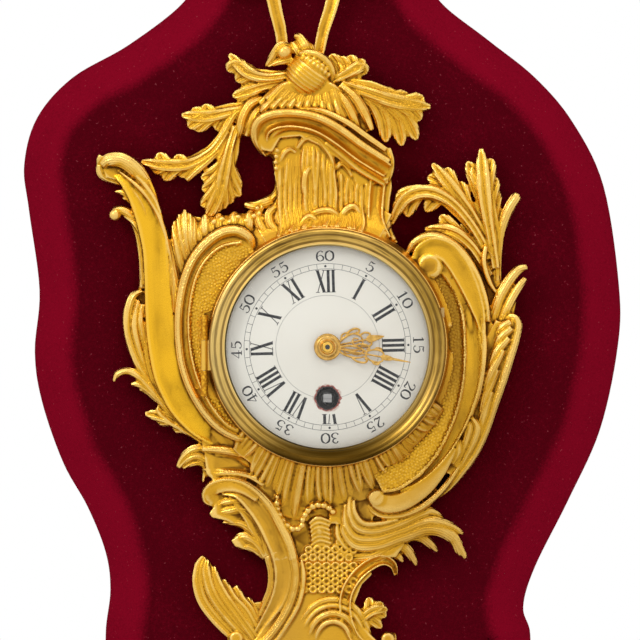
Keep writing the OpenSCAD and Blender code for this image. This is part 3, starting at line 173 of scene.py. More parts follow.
def new_piece(name, points, faces):
    mesh = bpy.data.meshes.new(name)
    mesh.from_pydata([tuple(p) for p in points], [], faces)
    piece = bpy.data.objects.new(name, mesh)
    bpy.context.collection.objects.link(piece)
    return piece


def pick(piece):
    bpy.ops.object.select_all(action="DESELECT")
    piece.select_set(True)
    bpy.context.view_layer.objects.active = piece


def apply_all(piece):
    pick(piece)
    for step in list(piece.modifiers):
        bpy.ops.object.modifier_apply(modifier=step.name)


def note(piece, name, values):
    """Stores one value a point, for the finish to read."""
    piece.data.attributes.new(name, "FLOAT", "POINT").data.foreach_set("value", values)


edge_line = smooth_line(OUTLINE, VELVET_STEPS, True)
edge_run = np.roll(edge_line, -1, axis=0) - np.roll(edge_line, 1, axis=0)
edge_run /= np.linalg.norm(edge_run, axis=1)[:, None]
edge_in = np.stack([-edge_run[:, 1], edge_run[:, 0]], axis=1)
rings = [np.column_stack([edge_line + edge_in * inset, np.full(VELVET_STEPS, level)])
         for inset, level in VELVET_WRAP]
velvet_faces = []
for row in range(len(rings) - 1):
    for step in range(VELVET_STEPS):
        ahead = (step + 1) % VELVET_STEPS
        velvet_faces.append((row * VELVET_STEPS + step, row * VELVET_STEPS + ahead,
                             (row + 1) * VELVET_STEPS + ahead, (row + 1) * VELVET_STEPS + step))
hole_turn = np.linspace(0, math.tau, HOLE_STEPS, False)
hole_edge = np.column_stack([BOARD_HOLE * np.cos(hole_turn), BOARD_HOLE * np.sin(hole_turn),
                             np.full(HOLE_STEPS, VELVET_WRAP[-1][1])])
velvet = new_piece("velvet_cloth", hang(np.concatenate(rings + [hole_edge])), velvet_faces)
pick(velvet)
field_start = (len(rings) - 1) * VELVET_STEPS
velvet.data.edges.add(HOLE_STEPS)
hole_start = len(rings) * VELVET_STEPS
for step in range(HOLE_STEPS):
    ahead = hole_start + (step + 1) % HOLE_STEPS
    velvet.data.edges[step - HOLE_STEPS].vertices = (hole_start + step, ahead)
for face in velvet.data.polygons:
    face.select = False
for edge in velvet.data.edges:
    edge.select = min(edge.vertices) >= field_start
for place in velvet.data.vertices:
    place.select = place.index >= field_start
bpy.context.tool_settings.mesh_select_mode = (False, True, False)
bpy.ops.object.mode_set(mode="EDIT")
bpy.ops.mesh.fill(use_beauty=True)
bpy.ops.object.mode_set(mode="OBJECT")
bpy.context.tool_settings.mesh_select_mode = (True, False, False)
# painted sheen: each row of the wrap gets a share of lighter colour, most along the bevel, none on the
# field
sheen_by_row = np.interp(np.arange(len(rings)), [0, 7, 9, 12, 13, 16], [0.5, 0.55, 0.9, 1.0, 0.8, 0.0])
note(velvet, "bevel", np.append(np.repeat(sheen_by_row, VELVET_STEPS), np.zeros(HOLE_STEPS)))
cloth = velvet.modifiers.new("cloth", "SOLIDIFY")
cloth.thickness = CLOTH_THICK * MM
cloth.offset = -1
apply_all(velvet)
pick(velvet)
bpy.ops.object.shade_smooth()

pile = Finish("velvet", Roughness=0.95, Sheen_Weight=0.25, Sheen_Roughness=0.38,
              Sheen_Tint=(0.55, 0.0, 0.05, 1), Specular_IOR_Level=0.02)
lean = pile.add("ShaderNodeAttribute", {"attribute_name": "bevel"}, out=2)
tufts = pile.noise(1000, 4.0, rough=0.65)
brushed = pile.noise(45, 4.0)
specks = pile.span(pile.noise(1000, 1.0), 0.73, 0.79)
# lean carries the painted sheen of the bevel rows; the noises add the pile's own tone
shade = lean * 0.8 + (brushed - 0.5) * 0.5 + (tufts - 0.5) * 1.1
burgundy = pile.mix(pile.span(shade, -0.15, 0.95), (0.066, 0.0005, 0.004), (0.205, 0.0017, 0.0125))
pile.feed("Base Color", pile.mix(specks * 0.22, burgundy, (0.4, 0.12, 0.14)))
pile.bump(tufts, 0.5, 0.0004)
velvet.data.materials.append(pile.material)
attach(velvet, "case")
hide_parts("velvet_cover")

# Wall hanger: a flat plate of brass let into the back of the board, held by two countersunk steel screws.
# The round hole in it hangs on the wall nail.
brass = Finish("brass", Metallic=1.0)
brass_cloud = brass.noise(60, 4.0)
brass_line = brass.noise(1.0, 2.0, brass.place(scale=(900, 900, 14)))
brass.feed("Base Color", brass.mix(brass.span(brass_cloud, 0.35, 0.75), (0.72, 0.48, 0.18),
                                   (0.5, 0.33, 0.13)))
brass.feed("Roughness", 0.24 + brass_line * 0.2)
brass.bump(brass_line, 0.12, 0.0001)
steel = Finish("steel", Metallic=1.0)
steel_cloud = steel.noise(90, 3.0)
steel.feed("Base Color", steel.mix(steel_cloud, (0.5, 0.49, 0.47), (0.3, 0.29, 0.28)))
steel.feed("Roughness", 0.25 + steel_cloud * 0.25)
dress(brass, "wall_hanger")
dress(steel, "hanger_screws")

# Gilt case: the body round the dial with its left band, its right scroll and the foot, cast in bronze.
# It is modelled ridge by ridge, fused, cut level with the velvet, then chased, matted and mercury gilt.
STEP = 0.42
DIAL_AT = (327.5, 347)
SINK = 1.6
CAST_GRAIN = 0.42
MOST_TRIANGLES = 190000
RIB_SWELL = (0.8, 0.85, 0.95, 1.15, 1.4, 1.5, 1.25, 0.4)
LOBE_SWELL = (0.45, 0.65, 0.8, 0.95, 1.08, 1.15, 1.1, 0.85, 0.25)
BLADE_SWELL = (0.8, 1.5, 1.35, 0.3)
LOBE_FAT = 1.42
LEAF_DEEP = 1.4
LEAF_BACK = 1.3
ROUND = [(-math.cos(a), math.sin(a) - 1) for a in np.linspace(0, math.pi, 11)]
HOLLOW = [(-1, -0.8), (-0.97, -0.25), (-0.88, 0), (-0.76, -0.06), (-0.6, -0.4), (-0.35, -0.8), (0, -1),
          (0.35, -0.8), (0.6, -0.4), (0.76, -0.06), (0.88, 0), (0.97, -0.25), (1, -0.8)]
LOBE = [(-1, -1), (-0.94, -0.5), (-0.76, -0.1), (-0.5, 0), (-0.24, -0.16), (0, -0.42), (0.24, -0.16),
        (0.5, 0), (0.76, -0.1), (0.94, -0.5), (1, -1)]
FLAT = [(-1, -1), (-0.96, -0.45), (-0.85, -0.12), (-0.5, 0), (0, 0.02), (0.5, 0), (0.85, -0.12),
        (0.96, -0.45), (1, -1)]
DISH = [(-1, -1.6), (-0.985, -0.7), (-0.95, -0.15), (-0.9, 0), (-0.82, -0.12), (-0.6, -0.55), (-0.3, -0.9),
        (0, -1), (0.3, -0.9), (0.6, -0.55), (0.82, -0.12), (0.9, 0), (0.95, -0.15), (0.985, -0.7),
        (1, -1.6)]


def spread(values, count):
    values = [values] if np.isscalar(values) else values
    return np.interp(np.linspace(0, 1, count), np.linspace(0, 1, len(values)), values)


def spot(marks):
    """Marks of the working drawing, in steps from its top left corner, to millimetres from the axis."""
    return [((x - DIAL_AT[0]) * STEP, (DIAL_AT[1] - y) * STEP, *rest) for x, y, *rest in marks]


class Casting:
    """Closed ridges, plates and beads that are fused into one casting."""

    def __init__(self):
        self.points = []
        self.faces = []
        self.across = []
        self.bright = []

    def shell(self, loops, across=None, bright=0):
        """Skin over a row of equal loops, closed at both ends, with each point's place across it."""
        start, size = len(self.points), len(loops[0])
        for loop in loops:
            self.points.extend(loop)
        self.across += list(across) if across is not None else [0] * (size * len(loops))
        for row in range(len(loops) - 1):
            a, b = start + row * size, start + (row + 1) * size
            self.faces += [(a + k, a + (k + 1) % size, b + (k + 1) % size, b + k) for k in range(size)]
        self.faces.append(tuple(range(start + size - 1, start - 1, -1)))
        self.faces.append(tuple(range(start + (len(loops) - 1) * size, start + len(loops) * size)))
        self.bright += [bright] * (len(self.faces) - len(self.bright))

    def ridge(self, marks, half, deep, section=ROUND, back=None, rings=22):
        """A ridge along marks (x, y, crest): half widths, fall to its edges, thickness if it is free."""
        self.strand(spot(marks), half, deep, section, back, rings)

    def strand(self, marks, half, deep, section=ROUND, back=None, rings=22):
        """The same ridge from marks in millimetres."""
        line = smooth_line(marks, rings)
        run = np.gradient(line[:, :2], axis=0)
        run /= np.maximum(np.linalg.norm(run, axis=1), 1e-6)[:, None]
        half, deep = spread(half, rings), spread(deep, rings)
        loops, across = [], []
        lined = (section is ROUND or section is LOBE) and half.max() > 1.25
        for k in range(rings):
            side = np.array([-run[k, 1], run[k, 0]]) * half[k]
            loop = [(*(line[k, :2] + side * u), line[k, 2] + v * deep[k]) for u, v in section]
            low = -SINK if back is None else line[k, 2] - deep[k] - min(back, half[k])
            under = 1 if back is None else 0.55
            loop += [(*(line[k, :2] + side * u), low) for u in (under, -under)]
            loops.append(loop)
            across += [u * half[k] * lined for u in [s[0] for s in section] + [under, -under]]
        self.shell(loops, across, float(section is DISH))

    def leaf(self, rib, tips, lobe, blade=None):
        """An acanthus leaf: its rib, and lobes as (share along the rib, tip x, tip y, tip height)."""
        last = 40
        line = smooth_line(rib, last + 1)
        raised = [(x, y, z + 0.3) for x, y, z in rib]
        self.ridge(raised, [lobe * w for w in RIB_SWELL], LEAF_DEEP, LOBE, LEAF_BACK, 30)
        if blade:
            lowered = [(x, y, z - 1.1) for x, y, z in rib]
            self.ridge(lowered, [blade * w for w in BLADE_SWELL], LEAF_DEEP, FLAT, LEAF_BACK)
        for share, x, y, z in tips:
            at = int(share * last)
            root = line[at]
            ahead = line[min(at + 3, last)] - line[max(at - 3, 0)]
            ahead = ahead[:2] / max(np.linalg.norm(ahead[:2]), 1e-6)
            tip = np.array([x, y, z], float)
            reach = np.linalg.norm(tip[:2] - root[:2])
            bend = np.append(root[:2] + ahead * reach * 0.55, (root[2] + z) / 2 + 0.9)
            way = [tuple(line[max(at - 7, 0)] - np.array([0, 0, 0.3]))] if at > 4 else []
            way += [tuple((1 - t) ** 2 * root + 2 * t * (1 - t) * bend + t * t * tip)
                    for t in (0, 0.35, 0.65, 0.85, 1)]
            fat = lobe * LOBE_FAT
            self.ridge(way, [fat * w for w in LOBE_SWELL], LEAF_DEEP, LOBE, LEAF_BACK)

    def plate(self, marks, height):
        """A flat ground that joins what stands on it."""
        line = spot(marks)
        self.shell([[(x, y, z) for x, y in line] for z in (-SINK, height)])

    def bead(self, x, y, crest, radius, squash=1.0):
        (cx, cy), = spot([(x, y)])
        loops = []
        for a in np.linspace(-1.5, 1.5, 8):
            r, z = radius * math.cos(a), crest - radius * squash * (1 - math.sin(a))
            loops.append([(cx + r * math.cos(b), cy + r * math.sin(b), z)
                          for b in np.linspace(0, math.tau, 12, False)])
        self.shell(loops)

    def scale(self, x, y, crest, radius):
        """A small raised ring, as struck with a ring punch."""
        (cx, cy), = spot([(x, y)])
        rows = [(1, crest - 2), (0.98, crest - 0.35), (0.84, crest), (0.66, crest - 0.1),
                (0.42, crest - 0.6), (0.05, crest - 0.75)]
        self.shell([[(cx + radius * s * math.cos(b), cy + radius * s * math.sin(b), z)
                     for b in np.linspace(0, math.tau, 14, False)] for s, z in rows])

    def disc(self, x, y, radius, crest, dish=0.0):
        """A turned button that ends a scroll, with its foot in the velvet."""
        (cx, cy), = spot([(x, y)])
        rows = [(1, -SINK), (1, crest - radius * 0.35), (0.9, crest - 0.15 * radius), (0.7, crest),
                (0.4, crest - dish), (0.05, crest - dish)]
        self.shell([[(cx + radius * s * math.cos(b), cy + radius * s * math.sin(b), z)
                     for b in np.linspace(0, math.tau, 28, False)] for s, z in rows])

    def turned(self, rows, steps=144, gap=None, dent=None):
        """A ring turned round the dial axis from rows of (radius, height)."""
        start, size = len(self.points), len(rows)
        for a in np.linspace(0, math.tau, steps, False):
            bite = 1 - GAP_CUT * gap(a) if gap else 1
            drop = NOTCH_DEEP * dent(a) if dent else 0
            for r, z in rows:
                r = min(r, RING_EDGE + (r - RING_EDGE) * bite)
                z = z - drop * (r > NOTCH_FROM and z > NOTCH_FOOT)
                self.points.append((r * math.cos(a), r * math.sin(a), z))
        self.across += [0] * (size * steps)
        self.faces += [(start + s * size + k, start + s * size + (k + 1) % size,
                        start + (s + 1) % steps * size + (k + 1) % size, start + (s + 1) % steps * size + k)
                       for s in range(steps) for k in range(size)]
        self.bright += [0] * (steps * size)

    def fan(self, first, last, rows, steps=40):
        """Part of a turned ring between two angles, with its foot in the velvet."""
        rows = rows + [(rows[-1][0], -SINK), (rows[0][0], -SINK)]
        self.shell([[(r * math.cos(a), r * math.sin(a), z) for r, z in rows]
                    for a in np.radians(np.linspace(first, last, steps))])

    def pour(self, name, grain=CAST_GRAIN, level=True, punch=None):
        """Fuses the ridges, softens the skin as casting does, and cuts the back level with the velvet."""
        points = np.array(self.points, float)
        points[:, 2] += FRONT
        source = hang(points)
        piece = new_piece(name, source, self.faces)
        fuse = piece.modifiers.new("fuse", "REMESH")
        fuse.mode = "VOXEL"
        fuse.voxel_size = grain * MM
        soften = piece.modifiers.new("soften", "SMOOTH")
        soften.factor = 0.5
        soften.iterations = 1
        apply_all(piece)
        if level:
            bpy.ops.object.mode_set(mode="EDIT")
            bpy.ops.mesh.select_all(action="SELECT")
            bpy.ops.mesh.bisect(plane_co=(0, -FRONT * MM, 0), plane_no=(0, -1, 0), use_fill=True,
                                clear_inner=True)
            bpy.ops.object.mode_set(mode="OBJECT")
        if punch:
            punch(piece)
        triangles = sum(len(f.vertices) - 2 for f in piece.data.polygons)
        if triangles > MOST_TRIANGLES:
            thin = piece.modifiers.new("thin", "DECIMATE")
            thin.ratio = MOST_TRIANGLES / triangles
            apply_all(piece)
        skin = BVHTree.FromPolygons([tuple(p) for p in source], self.faces)
        chase = np.zeros(len(piece.data.vertices))
        burnished_highlight = np.zeros(len(piece.data.vertices))
        for place in piece.data.vertices:
            hit, _, face, _ = skin.find_nearest(place.co)
            corners = list(self.faces[face])
            burnished_highlight[place.index] = self.bright[face]
            if len(corners) == 4:
                near = 1 / (((source[corners] - np.array(hit)) ** 2).sum(1) + 1e-10)
                chase[place.index] = (near * [self.across[c] for c in corners]).sum() / near.sum()
        note(piece, "chase", chase)
        note(piece, "burnished_highlight", burnished_highlight)
        pick(piece)
        bpy.ops.object.shade_smooth()
        return piece


FINE_TURNS = 6
BROAD_TURNS = 40
FINE_SHARE = 2.6
BROAD_SHARE = 0.3
MOST_RECESS = 1.5


def mark_recesses(piece):
    """Stores how far each point lies in a hollow or on a crest, for patina with painted shade in the
    hollows and painted highlight on the crests.
    """
    mesh = piece.data
    count = len(mesh.vertices)
    places = np.empty(count * 3)
    mesh.vertices.foreach_get("co", places)
    places = places.reshape(-1, 3)
    facing = np.empty(count * 3)
    mesh.vertices.foreach_get("normal", facing)
    facing = facing.reshape(-1, 3)
    ends = np.empty(len(mesh.edges) * 2, int)
    mesh.edges.foreach_get("vertices", ends)
    ends = ends.reshape(-1, 2)
    sides = np.maximum(np.bincount(ends.ravel(), minlength=count), 1)
    eased = places.copy()
    depth = np.zeros(count)
    for turn in range(1, BROAD_TURNS + 1):
        pull = np.stack([np.bincount(ends[:, 0], eased[ends[:, 1], k], count)
                         + np.bincount(ends[:, 1], eased[ends[:, 0], k], count) for k in range(3)], axis=1)
        eased = 0.35 * eased + 0.65 * pull / sides[:, None]
        if turn in (FINE_TURNS, BROAD_TURNS):
            depth += ((eased - places) * facing).sum(1) / MM * (FINE_SHARE if turn == FINE_TURNS
                    else BROAD_SHARE)
    note(piece, "recess", np.clip(depth, -MOST_RECESS, MOST_RECESS))


RING_EDGE = 51.6
GAP_CUT = 0.93
NOTCH_DEEP = 2.6
NOTCH_FROM = 50.9
NOTCH_FOOT = 10


def thumb_notch(a):
    """The finger notch beside the bezel at the right."""
    off = (math.degrees(a) + 180) % 360 - 180
    return min(1, max(0, (6 - abs(off - 3)) / 3))


def opening(a):
    """Where the ring is cut back at the upper right and the velvet shows beside the bezel."""
    return min(1, max(0, (13.5 - abs(math.degrees(a) - 50)) / 3.5))


case = Casting()
case.turned([(42.9, -SINK), (60.8, -SINK), (60.6, 11), (58, 12.4), (56, 14), (54, 15.4), (52.4, 16.6),
             (51.2, 17.8), (50.5, 19.6), (50.1, 22.3), (47.7, 22.3), (47.7, 20.2), (42.9, 20.2)],
            gap=opening, dent=thumb_notch)
case.plate([(252, 232), (225, 226), (203, 236), (186, 258), (176, 285), (174, 330), (178, 370), (196, 412),
            (222, 440), (262, 450), (290, 420), (290, 260)], 9)
case.plate([(150, 200), (166, 228), (178, 255), (190, 240), (214, 224), (240, 222), (240, 262), (200, 300),
            (190, 360), (206, 410), (230, 440), (204, 440), (176, 420), (150, 385), (136, 350), (131, 318),
            (138, 294), (143, 262), (140, 232)], 6)
LEFT_GROUND = [(241, 243), (223, 246), (209.5, 256), (198.5, 272), (192, 293), (189, 318), (189.8, 342),
               (194, 366), (202, 389), (214, 409), (227, 424), (238, 430), (242, 432), (219, 399),
               (203.5, 398), (202.5, 347), (203.5, 313), (212, 310), (235, 269), (253, 251)]
RIGHT_GROUND = [(442, 276), (454, 290), (463, 311), (466.5, 340), (466, 372), (461, 402), (452, 429),
                (439, 455), (421, 476), (400, 490), (383, 493), (372, 470), (384, 454), (413, 432),
                (441, 388), (448, 347), (441, 306), (423, 272)]
LEFT_TUBE = [(252, 249, 18.7), (249, 238, 20.3), (237, 231, 21.1), (222, 233, 21.1), (207, 243, 20.9),
             (194.5, 258, 20.7), (186.5, 275, 20.7), (181.5, 295, 20.7), (179, 318, 20.7),
             (179.5, 342, 20.7), (183, 366, 20.7), (191, 389, 20.7), (204, 411, 20.5), (219, 427, 20.1),
             (235, 436, 19.7), (245, 437, 19.3), (247, 430, 19.1)]
LEFT_LEVEL = 19.3
RIGHT_LEVEL = 15.2
case.plate(LEFT_GROUND, LEFT_LEVEL)
case.plate(RIGHT_GROUND, RIGHT_LEVEL)
case.plate([(x, y) for x, y, z in LEFT_TUBE[1:16]]
           + [(242, 432), (214, 388), (207, 347), (214, 306), (235, 269), (253, 251)], 19.1)
case.plate([(202.5, 311), (216, 306), (212, 347), (221, 402), (202.5, 400)], 18.8)
case.plate([(160, 225), (170, 250), (176, 285), (186, 270), (190, 300), (186, 340), (176, 340), (166, 290)],
           11.5)
case.plate([(372, 478), (400, 482), (404, 495), (380, 499)], 13.2)
case.plate([(328, 492), (372, 490), (376, 508), (372, 522), (350, 524), (330, 524)], 11.8)
# left tube of the dial's C scroll with its inner fillet
case.ridge(LEFT_TUBE, [1.6, 2.4, 2.4, 2.2, 2, 1.8, 1.8, 1.8, 1.9, 1.9, 1.4], 2.4, rings=60)
FILLET_RISE = [20] + [20.1] * 8 + [20, 19.8, 19.6]
case.ridge([(*mark, rise) for mark, rise in zip(LEFT_GROUND, FILLET_RISE)], 0.8, 0.9, rings=48)
case.ridge([(166, 240, 13), (172, 265, 14), (176, 290, 15.4), (177, 312, 16.4)], [1.8, 2.2, 2.2, 1.6], 2,
           rings=24)
case.bead(246.5, 432, 19.4, 2.3)
# broad hollow band of the left wing and its rolled head
case.plate([(100, 162), (112, 157), (130, 162), (144, 178), (156, 204), (140, 208), (118, 182), (104, 177)],
           8.4)
case.plate([(142, 292), (134, 298), (130, 315), (131, 335), (138, 356), (149, 378), (163, 400), (183, 422),
            (205, 441), (196, 420), (170, 390), (155, 350), (150, 300)], 7)
case.ridge([(116, 166, 10.6), (124, 170, 12), (134, 180, 13), (143, 198, 13.6), (150, 222, 14),
            (155, 250, 14), (157, 280, 14), (159, 310, 14), (162, 340, 14), (169, 375, 14),
            (182, 405, 13.4), (200, 428, 12.4), (217, 441, 10.4)],
           [4, 5.4, 6, 6, 5.7, 5.3, 5.4, 5.9, 6.3, 6.5, 5.8, 4.4, 2], [1.0, 1.2, 1.1, 1.0, 1.0, 1.0, 0.8],
           DISH, rings=64)
case.ridge([(153, 200, 12.6), (146, 184, 13.6), (135, 169, 14.2), (122, 160, 14.4), (109, 159.5, 14),
            (101, 164.5, 12.6)], [1, 2.6, 3.3, 3.3, 2.9, 1.6], 2.1, rings=34)
case.ridge([(99, 165, 11.6), (100, 173, 11), (107, 178.5, 10), (120, 183, 9)], [1.4, 1.6, 1.5, 0.7], 1.4,
           rings=22)
case.ridge([(165, 236, 12.6), (170, 262, 13.8), (172.5, 286, 14.4), (174, 306, 14.2)], [0.8, 1.4, 1.4, 0.6],
           1.4, rings=30)
case.plate([(200, 432), (246, 428), (262, 444), (262, 458), (204, 452)], 10.5)
case.plate([(102, 165), (112, 163), (122, 168), (119, 181), (106, 177)], 10.8)
for x, y in ((97.5, 164), (101, 167), (105, 168)):
    case.ridge([(x + 3, y - 9, 12.8), (x + 1, y - 4, 12.4), (x, y + 2, 10)], [1.0, 1.1, 0.4], 1, rings=10)
for way in ([(119, 171, 12.4), (134, 183, 13.6), (147, 196, 14.2), (158, 214, 14.4), (166, 238, 14.2),
             (171, 262, 14)],
            [(116, 178, 11), (131, 189, 12.6), (142, 205, 13), (149, 226, 12.8)],
            [(128, 168, 13.4), (141, 180, 14.2), (152, 195, 14.6), (161, 213, 14.4)]):
    case.ridge(way, [0.3, 0.9, 1, 0.9, 0.3], 0.9, rings=26)
case.ridge([(143, 214, 10), (134, 200, 9.6), (124, 192.5, 9), (114, 191, 8)], [2.2, 2.2, 1.6, 0.3], 1.6,
           back=1.5)
case.ridge([(147, 224, 10), (139, 208, 9.8), (130, 200, 9.2), (122, 198, 8)], [2, 2, 1.4, 0.3], 1.4,
           back=1.5)
case.ridge([(113, 216, 8.4), (116, 210.5, 9), (124, 210.5, 9.4), (132, 217, 9.8), (138.5, 232, 10),
            (142, 251, 10.2), (143, 270, 10), (141, 288, 9)], [1.5, 2, 1.9, 1.9, 2, 2, 1.8, 1.2], 1.7,
           rings=34)
case.ridge([(124, 215, 8.6), (134, 223, 10.4), (142, 237, 11), (146.5, 254, 11.2), (148, 274, 11.2),
            (146, 294, 10.6)], [0.8, 1.2, 1.3, 1.3, 1.2, 0.8], 1.2, rings=28)
case.bead(114.5, 214.5, 10.2, 2.7)
# folded outer leaf, curled leaf and pointed leaf below the band
case.ridge([(142, 291, 8), (133, 296, 8.8), (128, 312, 9), (128.5, 332, 9), (135, 355, 9.4),
            (146, 377, 9.8), (160, 399, 10), (181, 422, 10), (205, 443, 9)],
           [1.0, 1.9, 2.4, 2.4, 2.3, 2.2, 2.1, 1.9, 1.2], 1.8, back=2.4, rings=44)
for way in ([(150, 380, 9.6), (140, 352, 10), (134.5, 325, 10.2), (138, 300, 9.4)],
            [(151, 372, 9.8), (145, 345, 10.2), (140.5, 322, 10.4), (142, 304, 9.8)],
            [(166, 404, 10), (153, 378, 10.4), (147, 350, 10.6), (146, 322, 10.4)]):
    case.ridge(way, [1.0, 1.4, 1.5, 0.8], 1.2, rings=22)
case.ridge([(168, 406, 10), (152, 389, 10), (139, 376.5, 9.6), (127, 371, 9.2), (117, 374, 8.8),
            (113.5, 382, 8.2)], [2.2, 2.3, 1.9, 1.6, 1.5, 0.6], 1.5, back=1.4, rings=26)
case.ridge([(162, 402, 9.8), (147, 388.5, 9.4), (138, 384, 9), (130.5, 384.5, 8.4)], [2, 2, 1.7, 0.6], 1.5,
           back=1.4)
case.ridge([(170, 410, 9.6), (155, 397, 9.2), (146, 391, 8.8), (139, 390, 8.2)], [2, 1.8, 1.4, 0.4], 1.4,
           back=1.4)
case.leaf([(210, 446, 9.6), (188, 431, 9.4), (167, 418, 9), (144.5, 413.5, 7.8)],
          [(0.35, 172, 428, 7.4), (0.5, 156, 421, 7.4), (0.5, 158, 405.5, 8.6), (0.3, 176, 416, 9)], 1.9)
# leafy tuft and frill above the C scroll
case.plate([(172, 224), (184, 214), (205, 218), (240, 214), (262, 209), (268, 238), (240, 228), (214, 232),
            (192, 264), (182, 264)], 9)
for root, tip, fat in (((186, 278), (173.5, 221), 2.3), ((189, 268), (178.5, 214), 2.2),
                       ((190, 264), (184, 209), 2.3), ((194, 257), (189, 213), 2.1),
                       ((197, 254), (193, 217), 2), ((203, 246), (199, 222), 2),
                       ((208, 242), (204.5, 214), 2.2), ((215, 238), (211.5, 217), 2.2),
                       ((222, 234), (219, 213), 2.3), ((229, 231), (227, 215), 2.2),
                       ((236, 229), (235, 211), 2.3), ((243, 229), (243, 213), 2.2),
                       ((249, 231), (251, 210), 2.2)):
    case.ridge([(*root, 13.4), ((root[0] * 2 + tip[0]) / 3 - 1.5, (root[1] * 2 + tip[1]) / 3, 13.8),
                ((root[0] + tip[0] * 2) / 3 - 1, (root[1] + tip[1] * 2) / 3, 13), (*tip, 10.6)],
               [fat * 0.9, fat, fat * 1.05, fat * 1.05, fat * 0.9, fat * 0.3], 1.5, back=3, rings=16)
for x, y, z, r in ((214, 222, 13.6, 1.5), (222, 219, 13.4, 1.3), (230, 222, 13.8, 1.5),
                   (238, 217, 13.4, 1.3), (246, 221, 13.8, 1.4), (254, 216, 13.4, 1.4),
                   (204, 230, 13.6, 1.4)):
    case.bead(x, y, z, r)
# right C scroll with its button, inner fillet and flat lower terminal
case.plate([(437, 246), (452, 248), (470, 262), (486, 292), (493, 330), (489, 370), (479, 410), (462, 446),
            (440, 476), (410, 500), (370, 505), (345, 500), (380, 440), (440, 350), (430, 280)], 11)
case.plate([(474, 207), (496, 203), (499, 240), (500, 286), (513, 320), (505, 352), (494, 400), (482, 440),
            (464, 470), (452, 450), (475, 390), (480, 320), (468, 260), (455, 232)], 7.5)
case.disc(430, 266, 5.8, 17.5, 0.2)
case.ridge([(428, 256, 16.4), (440, 262, 16.5), (450, 274, 16.3), (459, 292, 15.8), (466, 312, 15.1),
            (470, 334, 14.2), (473, 358, 13)], [3, 3.4, 3, 2.6, 2, 1.4, 0.8], 0.8, FLAT, rings=34)
case.ridge([(420, 266, 16.6), (422, 254, 17.2), (434, 247.5, 17.4), (448, 252.5, 17.4), (460, 268, 17),
            (470, 288, 16.6), (478, 310, 16), (484, 334, 15.2)], [3.2, 3.8, 4.3, 4.5, 4.4, 3.9, 2.8, 0.7],
           [0.9, 0.9, 0.8, 0.6], DISH, rings=44)
case.ridge([(462, 290, 14.6), (470, 318, 15), (474.5, 348, 15), (474, 376, 15), (468.5, 402, 15),
            (460, 425, 14.8), (448.5, 447, 14.6), (434, 466, 14.4), (418, 480, 14.2), (400, 490, 14)],
           [0.8, 2.8, 3.4, 3.4, 3.1, 2.7, 2.1, 1.5, 1.1, 0.6], [0.6, 1.0, 1.1, 1.0, 0.8], DISH, rings=60)
case.ridge([(482, 318, 15.4), (484, 345, 15.2), (482, 372, 15), (478, 394, 14.6), (472, 416, 14)],
           [0.8, 1.3, 1.3, 1.2, 0.6], 1.3, rings=30)
case.ridge([(442, 276, 15.4), (453, 290, 15.6), (461.5, 311, 16.1), (464.5, 340, 16.1), (464, 372, 16.1),
            (459, 402, 16.1), (450, 428, 16), (437, 453, 15.9), (419, 474, 15.8), (399, 488, 15.7),
            (383, 491, 15.6)], 0.85, 0.9, rings=52)
case.ridge([(455, 449, 14), (441, 470, 14.2), (424, 488, 14.2), (404, 501, 14.2), (387, 504, 14.2),
            (376, 499, 14)], [0.8, 2.6, 3.6, 3.9, 4.1, 3.8], 1.6, FLAT, rings=40)
case.disc(377, 498, 3.9, 14.4)
case.plate([(402, 510), (416, 496), (434, 480), (440, 484), (425, 501), (408, 514)], 9.8)
case.ridge([(367, 497, 11), (370, 508, 12.2), (382, 516, 12.6), (402, 515.5, 12.6), (424, 506, 12.6),
            (445, 487, 12.2), (462, 462, 12)], [0.8, 1.3, 1.5, 1.5, 1.5, 1.4, 0.8], 1.4, rings=42)
case.ridge([(408, 252, 15.4), (415, 242, 16.6), (428, 236.5, 17.2), (444, 239.5, 17.2), (461, 252, 17),
            (475, 273, 16.6), (484, 297, 16), (489, 322, 15)], [0.9, 1.7, 2, 2, 1.9, 1.7, 1.5, 0.8], 1.5,
           rings=44)
# right wing: five acanthus leaves, the strap leaf and the paired fingers
case.leaf([(496, 268, 9), (491, 236, 10.5), (486, 205, 11.5), (483, 176, 11), (481.5, 148, 8.5)],
          [(0.3, 467.5, 161, 8.6), (0.5, 473, 166, 9.4), (0.4, 492.5, 158, 8.8), (0.3, 497, 177, 8.2),
           (0.18, 498.5, 190, 7.8), (0.05, 498, 214, 7.4)], 2.2, blade=3)
case.leaf([(490, 246, 9.4), (471, 213, 11), (452, 188, 11), (432.5, 163, 8.6)],
          [(0.45, 447, 167, 8.8), (0.3, 461, 181, 9.2), (0.5, 427.5, 176.5, 8.4), (0.25, 442, 188, 9.6)],
          2.1, blade=2.6)
case.leaf([(491, 258, 9.6), (472, 225, 11.6), (449, 200, 12.4), (425, 191.5, 12), (404, 200, 10.6),
           (390.5, 225, 7.6)], [(0.55, 407.5, 217, 8.6), (0.42, 426, 211.5, 9), (0.72, 397, 213, 8.4),
                                (0.5, 396, 199, 10)], 2.1, blade=2.4)
case.leaf([(490, 276, 9.8), (473, 248, 11.8), (452, 232, 12.4), (425, 228.5, 9)],
          [(0.4, 440, 215, 9.6), (0.55, 428, 235.5, 8.8), (0.35, 438, 238, 9.4)], 2, blade=2.2)
case.ridge([(498, 288, 7.5), (497.5, 262, 8.6), (500.5, 233, 9.4), (508, 211, 9.6), (516, 197.5, 9.2),
            (519, 193.5, 8.2)], [2, 2.1, 2.2, 2.4, 2.4, 1.2], 1.8, back=1.8, rings=30)
case.ridge([(491, 330, 10), (498, 303, 10.6), (508, 283, 10.6), (519, 269.5, 10), (528, 267, 9.2)],
           [2.4, 2.6, 2.4, 2, 1.1], 1.8, back=1.6, rings=26)
